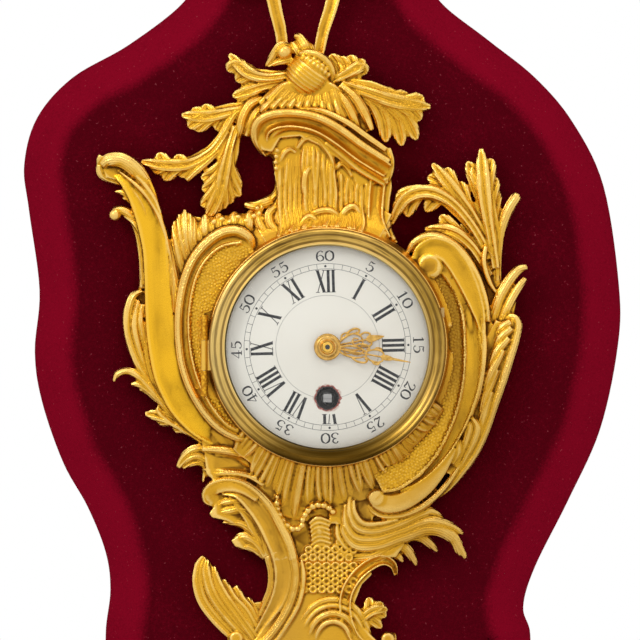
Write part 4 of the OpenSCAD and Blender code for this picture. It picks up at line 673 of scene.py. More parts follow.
case.ridge([(496, 336, 10), (507, 308, 10.4), (516, 291, 10), (526, 278, 9.2)], [2.2, 2.3, 2.1, 1.2], 1.7,
           back=1.6, rings=24)
case.ridge([(504, 330, 9), (511, 314, 9), (515.5, 301, 8)], [1.6, 1.6, 0.5], 1.3, back=1.4)
case.ridge([(486, 246, 12), (484, 262, 12.4), (489, 280, 11.5), (496, 292, 10)], [0.9, 1.1, 1.1, 0.6], 1.1,
           rings=20)
# long folded leaf down the right side and the lobes beside the terminal
case.ridge([(503, 321, 10), (513, 317, 11.2), (518, 324, 11.8), (515, 340, 12), (510, 357, 12),
            (502.5, 381, 12), (494, 405, 12), (485, 431, 12), (475, 453, 11.8), (461, 473, 11.2),
            (447, 489, 10), (430, 502, 8.6)], [1.2, 1.7, 2, 2.1, 2.1, 2.1, 2.1, 2.1, 2, 1.9, 1.7, 0.8], 1.6,
           back=4, rings=56)
for way in ([(496, 342, 11.6), (502, 328, 12.4), (511, 322, 12.6)],
            [(494, 356, 12), (501, 338, 13), (512, 328, 13)],
            [(489, 376, 12.4), (497, 352, 13.4), (509, 338, 13.2)],
            [(484, 400, 12.6), (491, 374, 13.4), (503, 350, 13.4)],
            [(481, 420, 12.4), (486, 396, 13), (497, 370, 13)],
            [(480, 436, 12.2), (484, 414, 12.8), (491, 392, 12.8)]):
    case.ridge(way, [0.9, 2.1, 1.3], 1.3, rings=18)
case.plate([(500, 322), (514, 320), (514, 345), (504, 376), (492, 408), (482, 440), (470, 458), (456, 474),
            (446, 474), (466, 430), (479, 400), (486, 340), (496, 320)], 11.4)
for way in ([(459, 470, 11.6), (471, 446, 13), (477, 428, 13.4), (471, 417, 13)],
            [(456, 466, 12), (466, 442, 13.4), (469, 427, 13.8), (465, 420, 13.4)],
            [(452, 464, 12.6), (458, 452, 13.6), (457, 442, 13.6), (453, 446, 13)]):
    case.ridge(way, [1.2, 1.9, 2, 0.9], 1.6, rings=20)
# fluted shell ground under the bezel
chance = np.random.RandomState(7)
SKIRT = [(49.6, 21.2), (51, 20.2), (53, 18.6), (55.5, 16.8), (58.5, 15.2), (62, 13.8), (66, 12.6),
         (70, 11.8), (73.5, 11.2)]
LOW_SKIRT = [(r, z - 0.6) for r, z in SKIRT]
case.fan(-133, -66, LOW_SKIRT[:5])
case.fan(-68, -30, LOW_SKIRT[:4])
case.fan(-114, -72, LOW_SKIRT[:7])
case.fan(-111, -86, LOW_SKIRT)
FLUTE_ENDS = [(-139, 57), (-126, 60), (-114, 67), (-108, 73), (-103, 74.5), (-98, 70), (-90, 67), (-82, 68),
              (-70, 63), (-55, 58), (-40, 56.4), (-28, 55)]
FLUTES = 43
FLUTE_FIRST = -134
FLUTE_PITCH = 2.5
FLUTE_ROOT = 49.9
for k in range(FLUTES):
    turn = FLUTE_FIRST + k * FLUTE_PITCH + chance.uniform(-0.5, 0.5)
    a = math.radians(turn)
    long = np.interp(turn, *zip(*FLUTE_ENDS)) + chance.uniform(-2.5, 0.8)
    fat = chance.uniform(0.6, 1.6)
    high = chance.uniform(-0.2, 1.1)
    lean = chance.uniform(-0.03, 0.06)
    steps = []
    for share in (0, 0.2, 0.45, 0.7, 0.88, 1):
        r = FLUTE_ROOT + (long - FLUTE_ROOT) * share
        rise = np.interp(r, *zip(*SKIRT)) + high * math.cos(share * 1.2) - 1.1 * share ** 4
        steps.append((r * math.cos(a + lean * share ** 2), r * math.sin(a + lean * share ** 2), rise))
    case.strand(steps, [fat * w for w in (0.8, 1, 1.15, 1.25, 1.1, 0.5)], 1.25, rings=24)
# console mouldings and leaf at the lower left
case.plate([(204, 446), (250, 448), (300, 470), (360, 500), (398, 520), (404, 545), (396, 558), (362, 558),
            (351, 565), (275, 565), (264, 554), (244, 520), (224, 490), (206, 474)], 10.2)
case.ridge([(202, 449, 10.6), (226, 450.5, 13), (256, 456, 15.5)], [1.5, 1.8, 1.8], 1.5)
case.ridge([(203, 463, 9.4), (228, 463.5, 11.4), (258, 470, 13.6)], [3.4, 4, 4], [2, 2.6, 2.6], HOLLOW)
case.ridge([(207, 475, 9.6), (229, 473.5, 11.8), (248, 476, 13), (263, 485, 13.4)], [0.9, 1.3, 1.3, 1], 1.2)
case.ridge([(206, 448, 10), (193, 449.5, 9.8), (183, 457, 9), (176.5, 467.5, 7.4)], [2, 2, 1.6, 0.4], 1.5,
           back=1.6)
case.ridge([(207, 460, 9.6), (196, 456, 9.6), (186, 460, 9), (178.5, 468.5, 7.6)], [2.4, 2.1, 1.7, 0.5],
           1.5, back=1.6)
case.ridge([(208, 466, 9), (199, 462.5, 8.8), (190, 464.5, 8.2), (183, 469, 7.4)], [2, 1.7, 1.3, 0.4], 1.4,
           back=1.6)
case.ridge([(208, 458, 9.4), (205.5, 470, 8.8), (202.5, 483, 7.4)], [2.3, 1.6, 0.3], 1.4, back=1.6)
# lower left C scroll with its dished volute and leafy inner edge
case.ridge([(215, 503, 8.6), (210.5, 495, 9.6), (215, 488, 10.6), (228, 485.5, 12), (243, 489, 13),
            (257, 499.5, 13.6)], [2, 2.8, 2.9, 2.7, 2.2, 1.2], 0.5, FLAT, rings=34)
case.plate([(250, 466), (262, 472), (276, 490), (282, 506), (270, 498), (256, 482)], 12.6)
case.plate([(213, 489), (224, 487), (233, 495), (227, 504), (214, 506)], 8.6)
case.plate([(216, 504), (209, 514), (212, 518), (226, 521), (240, 526), (250, 533), (240, 535.5),
            (231, 541), (235, 547), (248, 551), (260, 556), (268, 560), (278, 561), (272, 535), (258, 512),
            (240, 498), (226, 496)], 8.8)
case.ridge([(214, 506.5, 8), (205, 502.5, 8.8), (203.5, 493, 9.8), (211, 484, 10.8), (226, 480, 12.2),
            (242, 482.5, 13.4), (257, 492, 14.2), (270, 506, 14.6), (279.5, 523, 14.6), (288, 541, 14.2),
            (292.5, 556, 13.6), (293.3, 561, 13.4)], [0.7, 0.9, 1, 1.1, 1.2, 1.5, 1.8, 2.1, 2.1, 2, 1.9],
           1.5, rings=50)
case.ridge([(222, 493, 10.6), (238, 493, 12.4), (252, 504, 13), (264, 520, 13.2), (273, 538, 13.1),
            (279, 553, 12.8), (281, 561, 12.6)], [0.9, 2.6, 3.5, 3.7, 3.7, 3.6, 3.5],
           [0.5, 0.9, 1.1, 1.1, 1.1], HOLLOW, rings=40)
for way, fat in (([(268, 556, 11), (262, 530, 11.2), (246, 510, 10.6), (226, 511, 9.4), (210, 516, 7.6)],
                  2.3),
                 ([(272, 556, 11.4), (262, 524, 11.8), (244, 502, 11), (226, 502, 9.8), (214, 508, 8)], 2),
                 ([(268, 556, 10.6), (258, 537, 10.4), (242, 524, 9.4), (222, 523, 7.6)], 2),
                 ([(266, 557, 10.6), (256, 543, 10.2), (244, 537, 9.4), (231.5, 541, 7.8)], 2.2),
                 ([(265, 558, 10), (255, 550, 9.6), (246, 546.5, 9), (238, 549, 7.8)], 1.8),
                 ([(274, 557, 11.8), (268, 535, 12.2), (254, 512, 11.8), (238, 498, 10.8)], 1.5)):
    case.ridge(way, [fat * 0.8, fat, fat * 1.05, fat, 0.3], 1.6, back=2.4, rings=26)
# bead string, ribbed curl and scaled ground in the middle of the foot
for x, y, r in ((277, 497, 0.8), (277, 503, 1), (277.5, 509, 1.05), (279.5, 515, 1.1), (282.5, 520.5, 1.15),
                (287, 525.5, 1.2), (292.5, 529, 1.2), (298, 529, 1.15), (302, 525.5, 1.1),
                (302.5, 520, 1.05), (305, 515, 1.1), (308, 510.5, 1.15), (313, 506.5, 1.25),
                (318.5, 505, 1.2), (324, 505.5, 1.15), (329, 508, 1.1), (333, 512, 1.05)):
    case.bead(x, y, 14.2 + chance.uniform(-0.2, 0.2), r * 1.3)
for k in range(7):
    t = k / 6
    case.ridge([(309 + 3 * t, 524 + 26 * t, 10.6 + 2 * (1 - t)),
                (318 + 2 * t, 518 + 27 * t, 13.6 - 2.4 * t), (330 + 1 * t, 522 + 26 * t,
            10.8 + 1.4 * (1 - t))], [0.5, 1.0, 0.5], 1, rings=14)
case.bead(319, 530, 12.6, 3.8)
SCALE_WIDE = 1.8
SCALE_ACROSS = 9
SCALE_DOWN = 8
SCALE_TOP = 542
SCALE_LEFT = 304


def scale_places(first, last, right):
    """Places of the punched rings, in rows that each stand half a step over."""
    return [(x + SCALE_ACROSS / 2 * ((y - SCALE_TOP) // SCALE_DOWN % 2), y)
            for y in range(first, last, SCALE_DOWN) for x in range(SCALE_LEFT, right, SCALE_ACROSS)]


for x, y in scale_places(SCALE_TOP, 562, 350):
    if math.hypot((x - 319) * 0.9, y - 532) > 17:
        case.scale(x, y, 11.3, SCALE_WIDE)
# long leaves that flow to the lower right
for way, fat in (([(350, 497, 13), (350, 514, 13.4), (358, 528, 13), (376, 531, 12.4), (400, 524, 12),
                   (422, 514, 11.4), (432, 512.5, 10.4), (443.5, 518.5, 8.4)], 1.9),
                 ([(346, 505, 12.6), (346, 522, 12.8), (355, 537, 12.4), (376, 539, 12), (402, 531, 11.6),
                   (428, 522, 11.2), (448, 526, 10), (463.5, 534, 8)], 2.1),
                 ([(344, 516, 12), (345, 531, 12.2), (356, 545, 12), (378, 545, 11.6), (404, 536, 11.4),
                   (430, 529, 11), (452, 537, 10), (466, 559, 7.6)], 2.5),
                 ([(352, 547, 11), (376, 549.5, 10.8), (400, 540, 10.6), (420, 537, 10), (438, 552, 7.6)],
                  2),
                 ([(334, 545, 11), (346, 556, 11), (370, 556.5, 10.8), (392, 546.5, 10.4), (406, 549, 9.4),
                   (417, 566, 7.4)], 2.1),
                 ([(338, 553, 10), (352, 561, 10), (374, 560, 9.8), (392, 553.5, 9.4), (404, 562.5, 7.8)],
                  1.7),
                 ([(430, 522, 11), (446, 531, 10.2), (456, 543, 9.4), (461, 556, 8)], 1.9),
                 ([(414, 538, 10), (426, 541, 9.2), (434, 548, 8.2)], 1.5)):
    case.ridge(way, [fat * 0.5, fat * 0.9, fat, fat * 1.1, fat * 1.15, fat * 1.15, fat * 1.1, fat * 0.35],
               1.5, back=3, rings=34)
for way in ([(354, 500, 13.6), (355, 513, 13.8), (363, 523, 13.4), (378, 524, 13), (398, 520, 12.4)],
            [(338, 520, 11.6), (338, 536, 11.6), (346, 549, 11.4)]):
    case.ridge(way, [0.5, 1.1, 1.2, 1.1, 0.5], 1.1, rings=24)


def inside(x, y, marks):
    """Which of many places lie within an outline."""
    marks = np.array(marks, float)
    odd = np.zeros(len(x), bool)
    for (ax, ay), (bx, by) in zip(marks, np.roll(marks, -1, axis=0)):
        if ay != by:
            odd ^= ((ay > y) != (by > y)) & (x < ax + (bx - ax) * (y - ay) / (by - ay))
    return odd


GROUND_FROM = 51.2
LEVEL_SLACK = 0.8
FACES_OUT = -0.4
PUNCH_WANDER = 0.35
PUNCH_PITCH = 1.22
PUNCH_DEEP = 0.2


def on_ground(piece):
    """Which points lie on the level grounds beside the bezel, with their places and directions."""
    mesh = piece.data
    count = len(mesh.vertices)
    places, facing = np.empty(count * 3), np.empty(count * 3)
    mesh.vertices.foreach_get("co", places)
    mesh.vertices.foreach_get("normal", facing)
    places, facing = places.reshape(-1, 3) / MM, facing.reshape(-1, 3)
    x, y = places[:, 0], places[:, 2] + DIAL_DROP
    zone = np.zeros(count, bool)
    for marks, level in ((LEFT_GROUND, LEFT_LEVEL), (RIGHT_GROUND, RIGHT_LEVEL)):
        zone |= inside(x, y, spot(marks)) & (abs(-places[:, 1] - FRONT - level) < LEVEL_SLACK)
    return zone & (np.hypot(x, y) > GROUND_FROM) & (facing[:, 1] < FACES_OUT), places, facing


def punch_ground(piece):
    """Raises small grains on the grounds, as a matting punch does."""
    zone, places, facing = on_ground(piece)
    x, y = places[:, 0], places[:, 2] + DIAL_DROP
    u, v = x + PUNCH_WANDER * np.sin(y * 0.9), y + PUNCH_WANDER * np.sin(x * 1.1)
    k = math.tau / PUNCH_PITCH
    grains = np.cos(k * u) + np.cos(k * (0.5 * u + 0.866 * v)) + np.cos(k * (-0.5 * u + 0.866 * v))
    places += facing * (zone * PUNCH_DEEP * grains / 3)[:, None]
    piece.data.vertices.foreach_set("co", (places * MM).ravel())
    piece.data.update()


case_gilt = case.pour("case_gilt", punch=punch_ground)
note(case_gilt, "punched", on_ground(case_gilt)[0].astype(float))
mark_recesses(case_gilt)

gilt = Finish("gilt_bronze", Metallic=1.0)
recess = gilt.add("ShaderNodeAttribute", {"attribute_name": "recess"}, out=2)
cloudy = gilt.noise(70, 4.0)
matting = gilt.noise(1500, 2.0)
chased = (gilt.add("ShaderNodeAttribute", {"attribute_name": "chase"}, out=2) * 6.3).maths("SINE", 0)
punched = gilt.add("ShaderNodeAttribute", {"attribute_name": "punched"}, out=2)
# faces of the dished bands, flagged for burnish and painted highlight
burnish_and_highlight = gilt.add("ShaderNodeAttribute", {"attribute_name": "burnished_highlight"}, out=2)
dimples = gilt.add("ShaderNodeTexVoronoi", {}, {"Vector": gilt.place(), "Scale": 900})
# the hollows get patina and painted shade, the crests a painted highlight
hollow_patina_and_shade = gilt.span(recess + (cloudy - 0.5) * 0.3 - chased * 0.1, 0.06, 0.7)
crest_highlight = gilt.span(recess, -0.06, -0.46)
gold = gilt.mix(cloudy, (0.66, 0.33, 0.02), (0.8, 0.43, 0.035))
# painted highlight: the crests are paler gold
gold = gilt.mix(crest_highlight * 0.8, gold, (0.98, 0.66, 0.19))
gold = gilt.mix(gilt.span(gilt.noise(26, 3.0), 0.5, 0.72) * 0.3, gold, (0.45, 0.25, 0.06))
sideways = gilt.add("ShaderNodeSeparateXYZ", {}, {0: gilt.place()})
# painted shade: the right side of the castings, from 30 to 50 mm right of the axis, is darker
right_side_shade = gilt.span(sideways, 0.03, 0.05)
height = gilt.add("ShaderNodeSeparateXYZ", {}, {0: gilt.place()}, 2)
# painted highlight, with real burnish: the dished bands and the matted grounds are painted brighter gold,
# the bands less on the right
gold = gilt.mix(burnish_and_highlight * (0.7 - right_side_shade * 0.5) + punched * 0.3, gold, (0.96, 0.53, 0.02))
# painted shade: the lower right of the castings is darkened, except on the matted grounds
lower_right_shade = gilt.span(sideways, 0.01, 0.04) * gilt.span(height, -0.165, -0.19)
gold = gilt.mix(lower_right_shade * (1 - punched) * 0.38, gold, (0.4, 0.19, 0.012))
# patina and painted shade: the hollows are darkened to deep brown
gold = gilt.mix(hollow_patina_and_shade, gold, (0.13, 0.048, 0.006))
# painted shade in the low edges of the punch dimples
gold = gilt.mix(punched * gilt.span(dimples, 0.3, 0.75) * 0.36, gold, (0.36, 0.15, 0.01))
# painted shade on the matted ground at the lower right
gold = gilt.mix(punched * right_side_shade * gilt.span(height, -0.2, -0.17) * 0.7, gold, (0.27, 0.125, 0.015))
gilt.feed("Base Color", gold)
tarnish = 0.36 + hollow_patina_and_shade * 0.24 - crest_highlight * 0.08
gilt.feed("Roughness", tarnish - burnish_and_highlight * 0.1 + (matting - 0.5) * 0.2)
gilt.bump(chased * 0.5 + matting * 0.7 - punched * dimples * 1.2, 0.5, 0.0003)
case_gilt.data.materials.append(gilt.material)
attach(case_gilt, "case")
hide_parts("case_casting")

# Gilt crest: the hood over the dial with its shell panel and side pilaster, the fruit and the top leaves.
# One bronze casting, screwed to the board above the case.
crest = Casting()
crest.plate([(262, 150), (256, 136), (262, 120), (280, 112), (310, 110), (345, 126), (391, 156), (388, 184),
             (350, 168), (325, 148), (300, 136), (280, 138), (272, 152)], 14)
crest.fan(64, 121, [(50.2, 19), (51.5, 17.6), (53.5, 15.8), (56, 14.2), (59, 12.8), (62, 11.8)])
crest.plate([(275, 166), (273, 142), (281, 127), (305, 124), (322, 140), (300, 172)], 10.6)
crest.plate([(345, 154), (391, 174), (392, 186), (389, 204), (389, 222), (398, 243), (376, 236),
             (360, 226)], 11)
crest.plate([(279, 152), (288, 138), (304, 131), (322, 136), (342, 152), (362, 170), (366, 205), (364, 234),
             (330, 222), (300, 224), (272, 236), (270, 212), (278, 196), (274, 172)], 12.1)
crest.plate([(252, 224), (258, 206), (268, 200), (276, 190), (274, 160), (262, 146), (256, 132), (262, 118),
             (276, 106), (300, 100), (330, 104), (356, 122), (386, 150), (388, 176), (384, 190),
             (384, 224)], 6.5)
crest.plate([(252, 232), (262, 206), (286, 200), (374, 200), (392, 240), (360, 224), (326, 219),
             (292, 224)], 9)
crest.plate([(270, 138), (290, 131), (294, 152), (276, 160)], 12.2)
crest.plate([(350, 162), (374, 166), (376, 184), (356, 184)], 12.6)
# hood: stacked mouldings that run over the arch and down to the right
HOOD = [([(263, 153, 12), (254.5, 138, 15), (257, 123, 17.6), (271, 114.5, 19.2), (294, 113, 19.8),
          (318, 117.5, 19.6), (340, 129, 19.2), (362, 145, 18.6), (389, 162, 17.4)],
         [1, 1.6, 1.8, 1.8, 1.7, 1.7, 1.7, 1.6, 1.4], 1.7, ROUND),
        ([(268, 155, 12), (261.5, 141, 14.6), (264.5, 128, 17), (278, 121, 18.4), (298, 120.2, 18.8),
          (320, 125.8, 18.6), (341, 138.5, 18.2), (361, 154, 17.8), (388, 171, 16.8)],
         [1.2, 2.8, 3.3, 3.3, 3.4, 3.5, 3.6, 3.5, 3.2], [1.6, 2.4, 2.8, 2.8, 2.6], HOLLOW),
        ([(275, 156, 11.4), (270, 144, 13), (274, 134, 15), (284, 128, 16.4), (300, 127.5, 16.8),
          (320, 133, 16.6), (340, 147, 16.2), (360, 163, 15.8), (386, 180, 15)],
         [0.8, 1.1, 1.2, 1.2, 1.2, 1.2, 1.2, 1.2, 1], 1.2, ROUND),
        ([(326, 143, 14.6), (342, 155, 15), (360, 170, 14.8), (384, 184, 14)], [0.7, 1.2, 1.2, 1], 1.1,
         ROUND),
        ([(300, 108, 15), (322, 111, 16.4), (346, 122, 16.6), (366, 136, 16), (386, 150, 15)],
         [0.6, 1.2, 1.4, 1.4, 1.2], 1.3, ROUND)]
for marks, fat, fall, shape in HOOD:
    crest.ridge(marks, fat, fall, shape, rings=46)
crest.ridge([(388, 148, 14), (391, 160, 14.4), (390, 172, 14), (386, 182, 13)], [1.2, 1.6, 1.6, 1.2], 1.3)
# shell panel: one soft rippled face with a raised tongue in its middle, scalloped at the top and the foot
crest.ridge([(312, 138, 12.6), (317, 158, 13.1), (319, 185, 13.4), (322, 206, 13.9), (322, 218, 15.2)],
            [4, 6.4, 6.8, 6, 4], 1.2, FLAT, rings=26)
crest.ridge([(260, 104, 11.2), (272, 97, 12), (288, 91, 12.5), (308, 89, 12.7), (330, 92, 12.5),
             (346, 104, 11.6)], [1.2, 3, 4.4, 4.8, 4.2, 1.4], 1.6, FLAT, rings=34)
crest.ridge([(338, 92, 11), (352, 106, 11.4), (362, 120, 11.4), (368, 131, 10.6)], [3, 4.4, 4, 1.6], 1.6,
            FLAT, rings=22)
PANEL_TOP = [(280, 160), (286, 153), (292, 149), (302, 146), (312, 142), (318, 145), (324, 150), (334, 164),
             (346, 176), (362, 188)]
RIPPLES = 25
RIPPLE_FIRST = 279.5
RIPPLE_PITCH = 3.4
PANEL_FOOT = 120
for k in range(RIPPLES):
    x = RIPPLE_FIRST + RIPPLE_PITCH * k
    top = np.interp(x, *zip(*PANEL_TOP))
    sway = 1.8 * math.sin(k * 2.1)
    tongue = 1.5 if 303 < x < 336 else 0
    lift = chance.uniform(-0.3, 0.4)
    foot = DIAL_AT[1] - math.sqrt(PANEL_FOOT ** 2 - (x - DIAL_AT[0]) ** 2)
    crest.ridge([(x + 3 * math.sin(k * 1.3), foot, 19.6 + 0.7 * math.sin(k * 1.9)), (x + 2, foot - 9, 16.6),
                 (x + sway * 0.6, 208, 14 + tongue * 0.6 + lift), (x + sway, 192, 12.8 + tongue + lift),
                 (x - sway * 0.5, (top + 180) / 2, 12.4 + tongue + lift),
                 (x + 1, top, 11.6 + tongue * 0.7)], [1.3, 1.1, 0.95, 1.0, 1.0, 0.5], 0.9, rings=30)
for marks, fat in (([(306, 200, 14.6), (304.5, 186, 15), (306, 173, 15), (310, 167, 14.4)], 1.2),
                   ([(297, 148, 12.6), (304, 139, 13.8), (312, 137, 14.2), (322, 143, 14.2), (331, 156, 14),
                     (334, 170, 13.6)], 1.4),
                   ([(308, 217, 16), (318, 212, 16.4), (330, 211, 16.2), (340, 217, 16)], 1.5),
                   ([(300, 227, 17.6), (309, 217, 17), (318, 223, 17.6)], 1.5),
                   ([(340, 218, 16), (347, 209, 15.6), (354, 207, 15), (360, 213, 15)], 1.4),
                   ([(276, 206, 12.6), (269, 214, 13.6), (271, 225, 15), (280, 233, 16.4)], 1.7),
                   ([(284, 206, 13.4), (279, 217, 14.8), (284, 228, 16.6)], 1.6),
                   ([(262, 206, 11.6), (258, 215, 12.6), (261, 226, 14), (270, 236, 15.4)], 1.6),
                   ([(336, 168, 13), (342, 163, 13.4), (348, 168, 13.2), (352, 176, 12.8)], 1.2),
                   ([(280, 162, 12.4), (284, 153, 13), (290, 149, 13), (296, 152, 12.8)], 1.2)):
    crest.ridge(marks, [fat * 0.7, fat * 1.1, fat * 1.1, fat * 0.6], 1.2, rings=22)
for x, y in ((257, 208), (259, 213.5), (262, 219), (265.5, 224.5), (269, 229.5), (277, 150), (276, 156),
             (275.5, 162), (276, 168)):
    crest.bead(x, y, 13, 1.15)
# pilaster with its hollow face at the right
crest.ridge([(378, 180, 13.5), (376, 200, 13.5), (376, 220, 14.4), (383, 240, 15)], [3.6, 3.5, 3.4, 3.8],
            2.2, HOLLOW, rings=24)
crest.ridge([(390, 186, 11), (387, 204, 11), (386, 222, 11.6), (394, 240, 12)], [1, 1.2, 1.2, 1.2], 1.2,
            rings=20)
crest.ridge([(367, 184, 13), (366, 204, 13), (365, 224, 14), (368, 234, 15)], [0.8, 1.1, 1.1, 0.8], 1.1,
            rings=20)
crest.ridge([(272, 200, 10), (264, 203, 11), (254, 206, 10.4), (244, 204, 9)], [2.6, 2.4, 2.2, 1], 1.6,
            rings=16)
crest.ridge([(276, 160, 10), (279, 176, 10.4), (278, 190, 10.4), (270, 200, 10)], [1.6, 1.8, 1.8, 1.4], 1.5,
            rings=20)
# fruit with its crown, seed slit and fluted skirt
FRUIT = np.array([309, 74])
FRUIT_CREST = 15.6
FRUIT_FALL = 8.36
ALONG, DOWN = np.array([0.8, 0.6]), np.array([-0.6, 0.8])
FRUIT_WIDE = 24.3
crest.bead(309, 74, FRUIT_CREST, 10.2, 0.82)


def on_fruit(place, lift):
    """A mark on the round of the fruit, raised a little from its skin."""
    off = min(np.linalg.norm(place - FRUIT) / FRUIT_WIDE, 0.995)
    return (*place, FRUIT_CREST - FRUIT_FALL * (1 - math.sqrt(1 - off * off)) + lift)


for k in range(8):
    t = -0.27 + 0.15 * k
    long = FRUIT_WIDE * math.sqrt(1 - t * t) * 0.96
    crest.ridge([on_fruit(FRUIT + DOWN * (t * FRUIT_WIDE + 2.4 * (1 - u * u)) + ALONG * u * long, 0.5)
                 for u in (-1, -0.6, -0.2, 0.2, 0.6, 1)], [0.5, 0.85, 0.95, 0.95, 0.85, 0.5], 0.8, rings=20)
for row, count in ((-0.46, 8), (-0.6, 7)):
    for u in np.linspace(-0.75, 0.75, count):
        x, y, z = on_fruit(FRUIT + DOWN * row * FRUIT_WIDE + ALONG * u * FRUIT_WIDE * 0.84, 0.5)
        crest.bead(x, y, z, 1.2)
crest.ridge([(299, 53, 12), (308, 52.5, 13.4), (318, 55, 13.6), (327, 62, 13.2), (332, 72, 12),
             (331, 82, 10)], [0.8, 1.6, 1.8, 1.8, 1.6, 0.8], 1.4, rings=24)
for marks, fat in (([(306, 54, 11), (304, 45, 11.4), (299, 37, 9.6), (294, 35, 8)], 2.5),
                   ([(309, 55, 10.6), (310, 48, 10.6), (308, 42, 9.2)], 2),
                   ([(301, 55, 11), (296, 48, 11), (292, 41, 9.4)], 1.9)):
    crest.ridge(marks, [fat, fat, fat * 0.9, fat * 0.35], 1.6, back=2, rings=18)
crest.bead(284.5, 51.5, 12.4, 3.6)
crest.ridge([(290, 46, 10), (281, 45, 11), (276, 50, 10.6), (271, 58, 9.6), (265, 66, 8)],
            [1.4, 1.9, 1.8, 1.6, 0.4], 1.5, back=2, rings=20)
crest.ridge([(292, 58, 10.6), (284, 60, 10.6), (276, 62, 9.6), (268, 66, 8.4)], [2, 1.9, 1.5, 0.5], 1.4,
            back=2, rings=18)


def drape(t, share):
    """A place on the cloth that falls from the fruit to the hood, across it and down it."""
    top = (284 + 48 * t, 85 + 7 * math.sin(math.pi * t))
    foot = (258 + 86 * t, np.interp(t, [0, 0.3, 0.5, 0.75, 1], [112, 109, 110, 116, 122]))
    return tuple(a * (1 - share) + b * share for a, b in zip(top, foot))


for t in np.linspace(0.02, 0.98, 8):
    crest.ridge([(*drape(t, share), z) for share, z in ((0, 12.2), (0.3, 13.2), (0.62, 13.6))],
                [1.8, 2.3, 2.6], 0.8, rings=14)
for k, t in enumerate(np.linspace(0.03, 0.97, 10)):
    rise = 0.35 * (k % 2)
    crest.ridge([(*drape(t, share), z + rise) for share, z in ((0.4, 13.2), (0.62, 14.1), (0.84, 14.4),
            (1, 13.2))], [0.8, 1.4, 1.65, 1.0], 1.4, rings=18)
for marks in ([(328, 92, 11.6), (336, 104, 13.6), (342, 116, 14.6), (346, 128, 14)],
              [(333, 88, 11.6), (344, 100, 13.6), (352, 114, 14.4), (358, 128, 14)],
              [(340, 84, 11.4), (354, 96, 13), (364, 112, 13.8), (372, 130, 13.4)]):
    crest.ridge(marks, [1.2, 2.1, 2.2, 1], 1.8, rings=18)
# leaves round the fruit
crest.leaf([(290, 74, 9.6), (266, 77, 10.4), (246, 71, 10), (229, 53, 7.4)],
           [(0.7, 238, 58.5, 8), (0.55, 248.5, 62.5, 8.4), (0.75, 227.5, 71, 7.6), (0.5, 236, 81, 8.2)],
           2.0, blade=2.4)
crest.leaf([(284, 82, 9.4), (264, 86, 9.8), (248, 91, 9.2), (232, 95.5, 7.4)],
           [(0.4, 242, 84, 8.2), (0.5, 236, 99, 7.6)], 1.9, blade=1.8)
crest.leaf([(262, 106, 9), (232, 111, 9.6), (206, 116, 9), (181, 114.5, 7)],
           [(0.5, 204, 103.5, 7.8), (0.62, 192, 107.5, 7.4), (0.45, 196, 131, 7.4), (0.58, 188, 127.5, 7.2),
            (0.25, 216, 130, 8)], 2.0, blade=2.6)
crest.ridge([(262, 98, 10.4), (250, 104, 11.2), (243, 116, 11.4), (240, 128, 11), (237, 138, 9.4)],
            [1.4, 2, 2.2, 2, 1], 1.8, rings=22)
crest.ridge([(268, 104, 10.8), (257, 112, 11.8), (251, 124, 12), (246, 136, 10.6)], [1.3, 1.9, 2, 1], 1.7,
            rings=20)
crest.ridge([(252, 104, 9.6), (236, 112, 10), (228, 124, 10), (220, 138, 9.6), (208, 151, 9),
             (194, 160, 8.4)], [1.4, 1.9, 2, 2.1, 2.1, 1.4], 1.7, back=2, rings=28)
crest.leaf([(226, 130, 9.6), (212, 150, 9.4), (190, 163, 9), (165, 165, 8.4), (140.5, 161, 6.8)],
           [(0.5, 176, 154, 7.8), (0.66, 158, 152, 7.2), (0.55, 164, 180.5, 7), (0.7, 152, 171.5, 6.8),
            (0.4, 180, 177, 7.4)], 2.0, blade=2.2)
crest.ridge([(219, 150, 9.4), (207, 161, 9.6), (195, 171, 9.2), (186, 180, 8)], [1.3, 1.7, 1.8, 1.1], 1.5,
            back=1.8, rings=20)
crest.leaf([(236, 126, 10), (229, 150, 10.6), (223, 178, 10.4), (218, 212, 8)],
           [(0.35, 200.5, 178, 7.6), (0.45, 201.5, 190, 7.8), (0.55, 200.5, 206, 7.8),
            (0.6, 207, 216.5, 7.8), (0.6, 224, 209, 8), (0.5, 232, 203, 8), (0.35, 240.5, 196, 8.2),
            (0.3, 241, 188, 8.4)], 2.0, blade=3)
crest.leaf([(332, 80, 10), (345, 74, 10.6), (357, 67, 10), (366, 62, 8)],
           [(0.1, 330, 54, 8.4), (0.25, 340, 56, 8.8), (0.4, 349, 54.5, 8.6), (0.6, 359, 57.5, 8.2),
            (0.6, 366, 74, 8), (0.4, 357, 82, 8.4)], 2, blade=2.6)
crest.leaf([(342, 84, 10.6), (368, 92, 11.4), (396, 101, 10.8), (431, 106.5, 7.6)],
           [(0.4, 397, 91.5, 8.8), (0.52, 408.5, 93, 8.4), (0.66, 424, 96, 8), (0.6, 421, 120, 7.8),
            (0.45, 413, 128, 8), (0.3, 417, 139.5, 7.6), (0.25, 402, 145.5, 8), (0.15, 386, 142, 9)], 2.3,
           blade=3.6)
crest_gilt = crest.pour("crest_gilt")
mark_recesses(crest_gilt)
crest_gilt.data.materials.append(gilt.material)
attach(crest_gilt, "case")
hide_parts("crest_casting")

# Gilt ribbon bow: two straps that rise from the fruit to a knotted bow with loose tails.
# A separate bronze casting on its own stud at the top of the board.
RIBBON = [(-1, -0.5), (-0.9, -0.12), (-0.75, 0), (-0.3, -0.5), (0.05, -0.72), (0.45, -0.4), (0.85, 0),
          (0.95, -0.12), (1, -0.5)]
bow = Casting()
BOW_MIDDLE = 303.5


def one_side(s, marks):
    """Marks measured from the middle of the bow, for its left or right half."""
    return [(BOW_MIDDLE + s * x, y, z) for x, y, z in marks]


